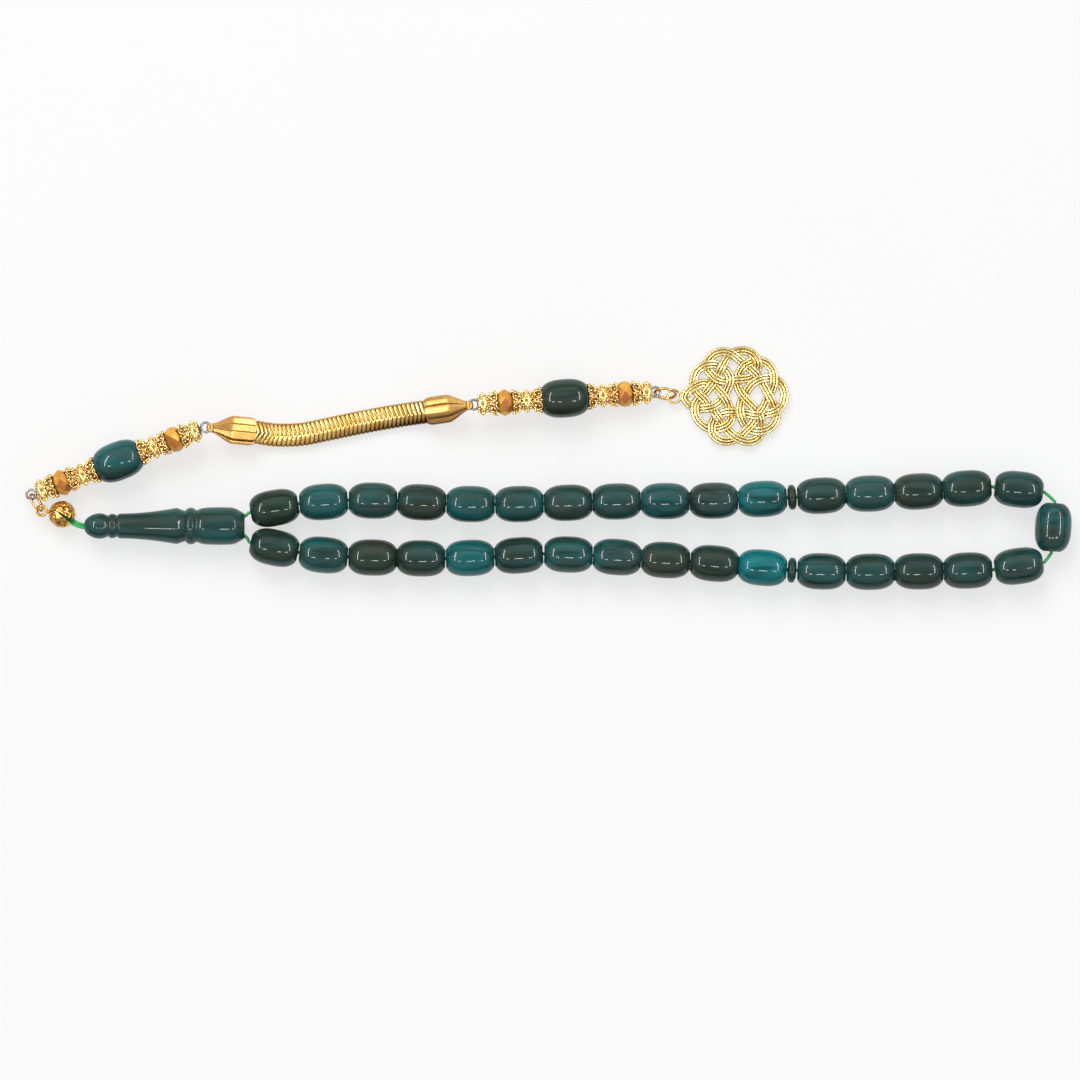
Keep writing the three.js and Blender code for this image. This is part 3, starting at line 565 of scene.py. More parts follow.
def copied(piece: bpy.types.Object, name: str) -> bpy.types.Object:
    """Copy a piece with a mesh of its own."""
    twin = piece.copy()
    twin.data = piece.data.copy()
    twin.name = name
    twin.data.name = name
    bpy.context.scene.collection.objects.link(twin)
    return twin


def joined(name: str, pieces: Sequence[bpy.types.Object]) -> bpy.types.Object:
    """Join pieces into the first one and name it."""
    select_only(*pieces)
    if len(pieces) > 1:
        bpy.ops.object.join()
    whole = bpy.context.object
    whole.name = name
    whole.data.name = name
    return whole


def smooth(piece: bpy.types.Object, angle: float = 40.0) -> bpy.types.Object:
    """Shade a piece smooth up to an angle in degrees."""
    select_only(piece)
    bpy.ops.object.shade_smooth_by_angle(angle=math.radians(angle))
    return piece


def marked(piece: bpy.types.Object, name: str, level: float | Sequence[float]) -> bpy.types.Object:
    """Give a piece's points an attribute that its finish reads.

    Args:
        piece: The piece.
        name: What is marked: a stone's tint, from olive at 0 to teal at 1, a metal's or a
        thread's painted shade in its recesses, from none at 0 to the darkest at 1, or a
        chain's slope.
        level: One level, or one for each point.

    Returns:
        The same piece.
    """
    layer = piece.data.attributes.get(name) or piece.data.attributes.new(name, "FLOAT", "POINT")
    levels = [level] * len(piece.data.vertices) if isinstance(level, (int, float)) else list(level)
    layer.data.foreach_set("value", levels)
    return piece


def shaded_below(piece: bpy.types.Object, level: float, start: float = 0.7) -> bpy.types.Object:
    """Paint shade on a lying wire, darker down its sides and below, where less light falls.

    Args:
        piece: The wire, lying flat.
        level: The painted shade at its sides.
        start: How upright a face still is untouched.

    Returns:
        The same piece.
    """
    levels = [level * limited((start - vertex.normal.z) / start) for vertex in piece.data.vertices]
    return marked(piece, "recess_shade", levels)


def at_share(shares: Sequence[tuple[float, float]], place: float) -> float:
    """Read a row of places and levels in between its entries.

    Args:
        shares: Pairs of place and level, in order.
        place: Where it is read.

    Returns:
        The level there.
    """
    for (start, low), (end, high) in zip(shares, shares[1:]):
        if place <= end:
            return low + (high - low) * max(0.0, (place - start) / (end - start))
    return shares[-1][1]


def on_curve(before: Vector, here: Vector, there: Vector, after: Vector, t: float) -> Vector:
    """Give a point of a smooth curve through four points, at a share t between the middle two."""
    square = before * 2 - here * 5 + there * 4 - after
    cube = here * 3 - before - there * 3 + after
    return (here * 2 + (there - before) * t + (square * t**2 + cube * t**3)) / 2


def curved(points: Sequence[tuple[float, float]], steps: int = 4) -> Outline:
    """Round a row of outline points in millimetres off with a smooth curve through them.

    Args:
        points: Pairs of place and radius, in millimetres.
        steps: Steps between two points.

    Returns:
        The finer row, in metres.
    """
    row = [Vector(point) for point in points]
    row = [row[0] * 2 - row[1], *row, row[-1] * 2 - row[-2]]
    fine = []
    for before, here, there, after in zip(row, row[1:], row[2:], row[3:]):
        for step in range(steps):
            fine.append(tuple(on_curve(before, here, there, after, step / steps) * MM))
    return [*fine, tuple(row[-2] * MM)]


def turned(name: str, outline: Outline, segments: int) -> bpy.types.Object:
    """Turn a piece about X: a ring is extruded from place to place along a closed outline.

    Args:
        name: The piece's name.
        outline: Pairs of place along the axis and radius, from the bore and back to it.
        segments: Sides of each ring.

    Returns:
        The closed piece.
    """
    deselect_all()
    (place, radius), *rest = outline
    bpy.ops.mesh.primitive_circle_add(vertices=segments, radius=radius, location=(0, 0, place))
    piece = bpy.context.object
    piece.name = name
    with editing(piece):
        for next_place, next_radius in [*rest, outline[0]]:
            step = {"value": (0, 0, next_place - place)}
            bpy.ops.mesh.extrude_edges_move(TRANSFORM_OT_translate=step)
            size = next_radius / radius
            bpy.ops.transform.resize(value=(size, size, 1), center_override=(0, 0, next_place))
            place, radius = next_place, next_radius
    tidy(piece)
    return settle(piece, turn_about("Y", QUARTER))


def wire_ring(
    ring: float, wire: float, opening: float = 0.0, steps: int = 36
) -> bpy.types.Object:
    """Bend a wire into a ring about Z by spinning its round section.

    Args:
        ring: Radius of the wire's centreline.
        wire: Radius of the wire.
        opening: Angle left open at +X, in degrees.
        steps: Steps round the ring.

    Returns:
        The ring, closed or with two filled ends.
    """
    deselect_all()
    bpy.ops.mesh.primitive_circle_add(
        vertices=12,
        radius=wire,
        location=(ring, 0, 0),
        rotation=(math.pi / 2, 0, 0),
        fill_type="NGON" if opening else "NOTHING",
    )
    piece = settle(bpy.context.object)
    with editing(piece):
        bpy.ops.mesh.spin(
            steps=steps,
            angle=math.radians(360 - opening),
            center=(0, 0, 0),
            axis=(0, 0, 1),
            use_auto_merge=not opening,
        )
    return settle(tidy(piece), turn_about("Z", opening / 2))


def granule(radius: float, place: Vector, detail: int = 2) -> bpy.types.Object:
    """Melt one round granule onto its place."""
    deselect_all()
    bpy.ops.mesh.primitive_ico_sphere_add(subdivisions=detail, radius=radius, location=place)
    return settle(bpy.context.object)


def curve_through(
    name: str, points: Sequence[Sequence[float]], cyclic: bool = False, flat: bool = False
) -> bpy.types.Object:
    """Make a curve that runs straight from point to point.

    Args:
        name: The curve's name.
        points: The points, each with three coordinates.
        cyclic: Whether it closes on itself.
        flat: Whether it lies in a plane, as a section does.

    Returns:
        The curve as an object.
    """
    curve = bpy.data.curves.new(name, "CURVE")
    curve.dimensions = "2D" if flat else "3D"
    spline = curve.splines.new("POLY")
    spline.points.add(len(points) - 1)
    for knot, point in zip(spline.points, points):
        knot.co = (*point, 1.0)
    spline.use_cyclic_u = cyclic
    return linked(name, curve)


def as_mesh(piece: bpy.types.Object) -> bpy.types.Object:
    """Turn a curve into a mesh."""
    select_only(piece)
    bpy.ops.object.convert(target="MESH")
    return bpy.context.object


def wire_loop(points: Sequence[Vector], radius: float) -> bpy.types.Object:
    """Lay a round wire along points and close it on itself."""
    piece = curve_through("wire", points, True)
    piece.data.bevel_depth = radius
    piece.data.bevel_resolution = 2
    piece.data.use_fill_caps = False
    return as_mesh(piece)


def cut(piece: bpy.types.Object, *tools: bpy.types.Object) -> bpy.types.Object:
    """Cut a piece with one tool after another.

    Args:
        piece: The piece.
        *tools: The solids that are taken off it, which are used up.

    Returns:
        The same piece.
    """
    for tool in tools:
        modified(piece, "BOOLEAN", operation="DIFFERENCE", object=tool, solver="EXACT")
        bpy.data.objects.remove(tool)
    return piece


def rod_between(start: Vector, end: Vector, radius: float, sides: int = 24) -> bpy.types.Object:
    """Add a rod between two points, as a drill or a shaft."""
    deselect_all()
    along = end - start
    bpy.ops.mesh.primitive_cylinder_add(vertices=sides, radius=radius, depth=along.length)
    turn = along.to_track_quat("Z", "Y").to_matrix().to_4x4()
    return settle(bpy.context.object, Matrix.Translation((start + end) / 2) @ turn)


def finish_piece(piece: bpy.types.Object, look: Look, body: str, node: str = "") -> None:
    """Dress a piece, put it on its body and let it stand for its solid.

    Args:
        piece: The piece, in its place.
        look: Its finish.
        body: The body that carries it.
        node: The solid that it stands for, where its name isn't the body's.
    """
    slot_name, finish = look.value
    piece.data.materials.clear()
    piece.data.materials.append(finish.material())
    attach(piece, body)
    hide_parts(node or body)
    LOG.info("%s: %d faces on %s", piece.name, len(piece.data.polygons), body)


# Places that the frame gives


class Frame:
    """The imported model: where its solids are and how its joints lie."""

    def __init__(self) -> None:
        """Load the frame and keep its joints by the body that they move."""
        self.joints = {joint["child"]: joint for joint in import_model()["joints"]}

    def centre(self, node: str) -> Vector:
        """Give the middle of a node's box."""
        low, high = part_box(node)
        return (low + high) / 2

    def axis(self, body: str) -> Vector:
        """Give the axis of the joint that moves a body."""
        return Vector(self.joints[body]["axis"]).normalized()

    def pivot(self, body: str) -> Vector:
        """Give the point that a body turns about."""
        return Vector(self.joints[body]["pos_m"])

    def threaded(self, body: str) -> Matrix:
        """Give the place of a piece whose X lies along its joint's axis."""
        return placed(self.centre(body), self.axis(body))

    def leader_tip(self) -> Vector:
        """Give the leader's tip, on its axis."""
        low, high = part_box("leader")
        return Vector((low.x, (low.y + high.y) / 2, (low.z + high.z) / 2))


def placed(at: Vector, along: Vector) -> Matrix:
    """Give a matrix that puts X along a direction and keeps Z as upright as it can be."""
    x = along.normalized()
    y = Vector((0, 0, 1)).cross(x).normalized()
    z = x.cross(y)
    turn = Matrix((x, y, z)).transposed().to_4x4()
    return Matrix.Translation(at) @ turn


def bearing(degrees: float, length: float = 1.0, height: float = 0.0) -> Vector:
    """Give a step over the table in a direction."""
    angle = math.radians(degrees)
    return Vector((math.cos(angle) * length, math.sin(angle) * length, height))


# The string


@dataclass
class Barrel:
    """A turned bead whose sides swell to the middle and round off into flat ends."""

    length: float
    diameter: float
    bore: float
    roundness: float = 2.7
    overreach_share: float = 1.055
    stations: int = 26
    segments: int = 80
    lip_share: float = 0.3
    edge_angle: float = 50.0

    def radius(self, place: float) -> float:
        """Give the radius at a place along the axis from the middle."""
        share = abs(place) / (self.length / 2 * self.overreach_share)
        return self.diameter / 2 * (1 - share**self.roundness) ** (1 / self.roundness)

    def outline(self) -> Outline:
        """Give the outline from bore to bore, with a small countersink at both."""
        half = self.length / 2
        lip = self.bore * self.lip_share
        steps = range(-self.stations, self.stations + 1)
        places = [half * math.sin(math.pi / 2 * step / self.stations) for step in steps]
        skin = [(place, self.radius(place)) for place in places]
        near = [(-half + lip, self.bore), (-half, self.bore + lip)]
        return [*near, *skin, (half, self.bore + lip), (half - lip, self.bore)]

    def make(self, name: str) -> bpy.types.Object:
        """Turn the bead about X, round its middle."""
        return smooth(turned(name, self.outline(), self.segments), self.edge_angle)


@dataclass
class BeadString:
    """The counting beads and dividers on their cord."""

    frame: Frame
    bead: Barrel = field(
        default_factory=lambda: Barrel(length=11.1 * MM, diameter=8.4 * MM, bore=0.675 * MM)
    )
    divider: Barrel = field(
        default_factory=lambda: Barrel(
            length=2.0 * MM,
            diameter=5.8 * MM,
            bore=0.675 * MM,
            roundness=3.0,
            overreach_share=1.06,
            stations=6,
        )
    )
    divider_tint: float = 0.3
    # How teal each bead is, counted round the string from the leader
    tint_shares: tuple[float, ...] = (
        0.25, 0.62, 0.42, 0.2, 0.66, 0.62, 0.35, 0.45, 0.62, 0.4, 0.78,
        0.4, 0.6, 0.25, 0.4, 0.45, 0.45, 0.4, 0.3, 0.25, 0.45, 0.5,
        1.0, 0.4, 0.35, 0.5, 0.45, 0.35, 0.8, 0.35, 0.2, 0.5, 0.25,
    )

    def build(self) -> None:
        """Thread a copy of one bead at every place, and the two dividers."""
        beads = {f"bead_{n:02d}": tint for n, tint in enumerate(self.tint_shares, 1)}
        dividers = dict.fromkeys(("divider_upper", "divider_lower"), self.divider_tint)
        self.thread(self.bead, beads)
        self.thread(self.divider, dividers)

    def thread(self, barrel: Barrel, tints: dict[str, float]) -> None:
        """Turn one barrel and dress a copy of it at each node's place, in the node's tint."""
        pattern = barrel.make("pattern")
        for node, tint in tints.items():
            piece = settle(copied(pattern, f"polished_{node}"), self.frame.threaded(node))
            finish_piece(marked(piece, "tint", tint), Look.STONE, node)
        bpy.data.objects.remove(pattern)


@dataclass
class Leader:
    """The turned leader: knob, two rings, a long cone, a collar and a barrel."""

    frame: Frame
    length: float = 36.7 * MM
    bore: float = 0.85 * MM
    bore_floor: float = 0.2 * MM
    tip_chamfer: float = 0.15 * MM
    segments: int = 64
    edge_angle: float = 38.0
    tint: float = 0.6
    fork: float = 7.3 * MM
    hole: float = 0.675 * MM
    hole_offset: float = 2.2 * MM
    strand_offset: float = 0.4 * MM
    # Room for the cord, which turns outwards at the holes, as the leader slides along it
    slide: float = 1.2 * MM
    splay: float = 38.0
    # The turned forms: knob, ring, cone, collar and barrel, by place and radius in millimetres
    forms: tuple[tuple[tuple[float, float], ...], ...] = (
        (
            (0, 1.15), (0.3, 1.62), (0.75, 2.03), (1.3, 2.38), (2, 2.7), (2.8, 2.9), (3.5, 2.94),
            (4.2, 2.86), (4.8, 2.66), (5.3, 2.42),
        ),
        ((5.4, 2.45), (5.75, 2.72), (6.3, 2.83), (6.9, 2.72), (7.35, 2.46)),
        (
            (7.45, 2.48), (7.75, 2.76), (8.2, 2.87), (9.5, 2.91), (11, 2.96), (12.6, 3.07),
            (14.4, 3.23), (16.4, 3.46), (18.4, 3.76), (19.8, 3.97), (20.6, 4.12), (21.05, 4.16),
            (21.45, 4.08), (22, 3.86), (22.6, 3.66), (22.9, 3.56),
        ),
        (
            (23, 3.55), (23.25, 3.8), (23.7, 4.1), (24.25, 4.24), (24.8, 4.2), (25.2, 3.98),
            (25.5, 3.74),
        ),
        (
            (25.7, 3.7), (26.1, 3.84), (26.6, 4.04), (27.3, 4.2), (28.6, 4.3), (30.6, 4.36),
            (32.8, 4.32), (33.8, 4.25), (34.5, 4.08), (35.1, 3.8), (35.7, 3.45), (36.2, 3.15),
            (36.6, 2.88), (36.7, 2.6),
        ),
    )

    def outline(self) -> Outline:
        """Give the whole outline from the tip to the broad end and back through the bore."""
        skin = [point for form in self.forms for point in curved(form)]
        floor = self.bore_floor
        core = [(self.length, floor), (self.fork, floor), (self.fork, self.bore)]
        return [(self.tip_chamfer, self.bore), *skin, *core]

    def build(self) -> None:
        """Turn the leader, drill its two holes and put it in its place."""
        piece = turned("polished_leader", self.outline(), self.segments)
        for side in (1, -1):
            inner = Vector((self.fork, side * self.strand_offset, 0))
            outer = Vector((self.length, side * self.hole_offset, 0))
            along = (outer - inner).normalized() * MM
            cut(piece, rod_between(inner - along, outer + along, self.hole))
            relief = Vector((self.length - self.slide, side * self.hole_offset, 0))
            cut(piece, rod_between(relief, relief + bearing(side * self.splay, 4 * MM), self.hole))
        settle(smooth(piece, self.edge_angle), Matrix.Translation(self.frame.leader_tip()))
        finish_piece(marked(piece, "tint", self.tint), Look.STONE, "leader")


@dataclass
class Cord:
    """Three-ply twisted cord: from the knot through the leader, round both rows and back."""

    frame: Frame
    diameter: float = 0.8 * MM
    pitch: float = 2.4 * MM
    sides: int = 18
    steps: int = 12
    lobe_depth: float = 0.2
    strand_offset: float = 0.36 * MM
    straight: float = 0.5 * MM
    station: float = 1.2 * MM
    bead_half: float = 5.4 * MM
    mouth_reach: float = 3.1 * MM
    low_share: float = 0.35
    knot: float = 1.3 * MM
    knot_drop: float = 0.6
    knot_core: float = 0.72
    knot_steps: int = 24
    knot_wave: float = 0.25
    # The loops of the knot: their number, their first tilt and the turns from one to the next
    knot_loops: int = 3
    knot_tilt: float = 20.0
    knot_turns: tuple[float, float] = (60.0, 50.0)
    ply_count: int = 3
    merge: float = 1e-8
    beads: int = 33
    row: int = 16

    def ends(self, node: str) -> list[Vector]:
        """Give the two points where the cord enters and leaves a bead."""
        half = self.frame.axis(node) * self.bead_half
        centre = self.frame.centre(node)
        return [centre - half, centre + half]

    def step(self, node: str) -> Vector:
        """Give the short straight step that the cord takes beyond a bead."""
        return self.frame.axis(node) * self.straight

    def strand(self, side: int, shell: Vector, tip: Vector) -> list[Vector]:
        """Give one strand from the knot through the leader.

        Args:
            side: 1 for the upper strand, -1 for the lower.
            shell: The bead tip's middle.
            tip: The leader's tip on its axis.

        Returns:
            The strand's points.
        """
        heading = Clamshell.bearing_degrees
        across = bearing(heading + QUARTER, side * self.strand_offset)
        mouth = shell + bearing(heading, self.mouth_reach) + across
        low = shell + bearing(heading, self.mouth_reach * self.low_share, -self.knot)
        bend = tip + Vector((Leader.fork, side * self.strand_offset, 0))
        hole = tip + Vector((Leader.length, side * Leader.hole_offset, 0))
        start = tip + Vector((-self.straight, side * self.strand_offset, 0))
        return [low + across, mouth, start, bend, hole]

    def route(self) -> list[Vector]:
        """Give the cord's whole route by its stations."""
        tip = self.frame.leader_tip()
        shell = Clamshell(self.frame).middle()
        names = [f"bead_{number:02d}" for number in range(1, self.beads + 1)]
        upper, turning, lower = names[: self.row], names[self.row], names[self.row + 1 :]
        points = self.strand(1, shell, tip)
        points.append(self.ends(upper[0])[0] - self.step(upper[0]))
        for name in upper:
            points += self.ends(name)
            if name == "bead_11":
                points.append(self.frame.centre("divider_upper"))
        points.append(points[-1] + self.step(upper[-1]))
        first, last = self.ends(turning)
        points += [first - self.step(turning), first, last, last + self.step(turning)]
        points.append(self.ends(lower[0])[1] + self.step(lower[0]))
        for name in lower:
            points += reversed(self.ends(name))
            if name == "bead_22":
                points.append(self.frame.centre("divider_lower"))
        points.append(points[-1] - self.step(lower[-1]))
        return [*points, *reversed(self.strand(-1, shell, tip))]

    def path(self) -> list[Vector]:
        """Round the route's corners off: each stretch is cut into short steps of a smooth curve."""
        stations = self.route()
        fine: list[Vector] = []
        befores, afters = [stations[0], *stations], [*stations[2:], stations[-1]]
        for before, here, there, after in zip(befores, stations, stations[1:], afters):
            length = (there - here).length
            count = max(1, round(length / self.station))
            start = (there - before).normalized() * length
            end = (after - here).normalized() * length
            for step in range(count):
                t = step / count
                fine.append(
                    here * (2 * t**3 - 3 * t**2 + 1)
                    + start * (t**3 - 2 * t**2 + t)
                    + there * (3 * t**2 - 2 * t**3)
                    + end * (t**3 - t**2)
                )
        return [*fine, stations[-1]]

    def build(self) -> None:
        """Twist the plies by a screw, lay them along the path and add the knot."""
        points = self.path()
        length = sum((b - a).length for a, b in zip(points, points[1:]))
        path = curve_through("cord_path", points)
        path.data.twist_mode = "Z_UP"
        piece = self.plies()
        turns = length / self.pitch
        steps = int(turns * self.steps)
        modified(
            piece,
            "SCREW",
            axis="Z",
            angle=turns * math.tau,
            screw_offset=length,
            steps=steps,
            render_steps=steps,
            use_normal_calculate=True,
        )
        modified(piece, "CURVE", object=path, deform_axis="POS_Z")
        bpy.data.objects.remove(path)
        with editing(piece):
            bpy.ops.mesh.remove_doubles(threshold=MERGE)
            close_ends()
        centre = Clamshell(self.frame).middle() - Vector((0, 0, self.knot * self.knot_drop))
        whole = joined("twisted_cord", [tidy(piece, self.merge), *self.wound_knot(centre)])
        finish_piece(smooth(whole, WIRE_EDGE), Look.THREAD, "string", "cord")

    def plies(self) -> bpy.types.Object:
        """Draw the cord's section, with a groove between each two of its three plies."""
        deselect_all()
        bpy.ops.mesh.primitive_circle_add(vertices=self.sides, radius=self.diameter / 2)
        piece = bpy.context.object
        groove_shades = []
        for vertex in piece.data.vertices:
            lobe = abs(math.cos(self.ply_count / 2 * math.atan2(vertex.co.y, vertex.co.x)))
            vertex.co *= 1 - self.lobe_depth * (1 - lobe)
            # Painted shade, deepest in the grooves between the plies
            groove_shades.append((1 - lobe) ** 2)
        return marked(piece, "recess_shade", groove_shades)

    def wound_knot(self, centre: Vector) -> list[bpy.types.Object]:
        """Wind the knot as three crossing loops round a core."""
        reach = self.knot - self.diameter / 2
        pieces = [granule(self.knot * self.knot_core, centre)]
        tilt_step, heading_step = self.knot_turns
        for turn in range(self.knot_loops):
            tilt = turn_about("X", tilt_step * turn + self.knot_tilt)
            roll = turn_about("Z", heading_step * turn) @ tilt
            points = []
            for step in range(self.knot_steps):
                angle = math.tau * step / self.knot_steps
                wave = self.knot_wave * math.sin(3 * angle)
                loop = Vector((math.cos(angle), math.sin(angle), wave)) * reach
                points.append(centre + roll @ loop)
            pieces.append(wire_loop(points, self.diameter / 2))
        return pieces


# The tassel


@dataclass
class Clamshell:
    """The bead tip: two stamped cups closed over the knot, with a flat hook."""

    frame: Frame
    radius: float = 3.1 * MM
    wall: float = 0.35 * MM
    mouth_gap: float = 0.85 * MM
    hinge_gap: float = 0.14 * MM
    hinge_reach: float = 1.9 * MM
    bearing_degrees: float = -35.5
    hook_bearing: float = 170.0
    hook_reach: float = 4.8 * MM
    hook_radius: float = 1.1 * MM
    hook_wire: float = 0.33 * MM
    neck_share: float = 1.3
    mouth: float = 1.2 * MM
    flute_count: int = 12
    flute_sharpness: float = 0.7
    flute_depth: float = 0.06 * MM
    flute_shade: float = 0.3
    hammer_depth: float = 0.5 * MM
    hammer_scale: float = 3.6
    hammer_start: tuple[float, float, float] = (3.1, 1.7, 4.2)
    hammer_shade: float = 1.5
    hammer_level: float = 0.05
    hook_shade: float = 0.8
    edge_angle: float = 45.0
    # The cutters reach this share of the radius, and the mouth's cutter opens by its own share
    cutter_share: float = 1.5
    mouth_share: float = 0.7

    def middle(self) -> Vector:
        """Give the middle of the cups, measured back from the hook that the ring swings in."""
        return self.frame.pivot("jump_ring_knot") - bearing(self.hook_bearing, self.hook_reach)

    def ball(self, radius: float) -> bpy.types.Object:
        """Add a ball with its poles on the mouth's line."""
        deselect_all()
        bpy.ops.mesh.primitive_uv_sphere_add(segments=96, ring_count=56, radius=radius)
        return settle(bpy.context.object, turn_about("Y", QUARTER))

    def stamp(self, shell: bpy.types.Object) -> None:
        """Press flutes that run from pole to pole, and hammer marks between them."""
        dent_shades = []
        start = Vector(self.hammer_start)
        for vertex in shell.data.vertices:
            out = vertex.co.normalized()
            waist = 1 - out.x * out.x
            crest = abs(math.cos(math.atan2(out.z, out.y) * self.flute_count / 2))
            flute = crest**self.flute_sharpness - 1
            mark = min(0.0, noise.noise(out * self.hammer_scale + start) - self.hammer_level)
            vertex.co += out * (flute * self.flute_depth * waist + mark * self.hammer_depth)
            # Painted shade in the flutes and in the hammer dents
            tone = flute * flute * waist * self.flute_shade - mark * self.hammer_shade
            dent_shades.append(min(1.0, tone))
        marked(shell, "recess_shade", dent_shades)

    def slit(self) -> bpy.types.Object:
        """Add the wedge that parts the cups, wider towards the mouth."""
        deselect_all()
        bpy.ops.mesh.primitive_cube_add(size=2)
        wedge = bpy.context.object
        beyond = self.radius * self.cutter_share
        for vertex in wedge.data.vertices:
            side, up = vertex.co.y, vertex.co.z
            if vertex.co.x < 0:
                vertex.co = (-self.hinge_reach, side * self.hinge_gap / 2, up * beyond)
            else:
                vertex.co = (beyond, side * self.mouth_gap * self.mouth_share, up * beyond)
        return wedge

    def hook(self) -> list[bpy.types.Object]:
        """Bend the flat hook: a ring and its neck."""
        ring = wire_ring(self.hook_radius, self.hook_wire)
        settle(ring, Matrix.Translation(bearing(self.hook_bearing, self.hook_reach)))
        neck_start = bearing(self.hook_bearing, self.radius - self.wall)
        neck_end = bearing(self.hook_bearing, self.hook_reach - self.hook_radius)
        neck = rod_between(neck_start, neck_end, self.hook_wire * self.neck_share)
        # Painted shade down the ring's and the neck's sides and below
        return [shaded_below(smooth(piece, WIRE_EDGE), self.hook_shade) for piece in (ring, neck)]

    def build(self) -> None:
        """Stamp the cups, cut the slit and the mouth, and add the hook."""
        shell = self.ball(self.radius)
        self.stamp(shell)
        cut(shell, self.ball(self.radius - self.wall))
        cut(shell, self.slit())
        beyond = Vector((self.radius * self.cutter_share, 0, 0))
        cut(shell, rod_between(Vector((MM, 0, 0)), beyond, self.mouth))
        settle(smooth(shell, self.edge_angle), turn_about("Z", self.bearing_degrees))
        whole = joined("stamped_bead_tip", [shell, *self.hook()])
        settle(whole, Matrix.Translation(self.middle()))
        finish_piece(whole, Look.WIRE, "string", "clamshell_tip")


@dataclass
class JumpRing:
    """A jump ring: wire bent round until its ends all but meet."""

    frame: Frame
    node: str
    ring: float
    wire: float
    bearing_degrees: float
    lean: float
    opening: float = 5.0
    seam: float = 70.0
    sides: int = 48
    shade: float = 0.8

    def build(self) -> None:
        """Bend the ring, lean it and put it in its place."""
        piece = wire_ring(self.ring, self.wire, self.opening, self.sides)
        smooth(piece, WIRE_EDGE)
        piece.name = f"bent_{self.node}"
        heading = turn_about("Z", self.bearing_degrees)
        turn = heading @ turn_about("X", self.lean) @ turn_about("Z", self.seam)
        settle(piece, Matrix.Translation(self.frame.centre(self.node)) @ turn)
        # Painted shade down the wire's sides and below
        finish_piece(shaded_below(piece, self.shade), Look.WIRE, self.node)


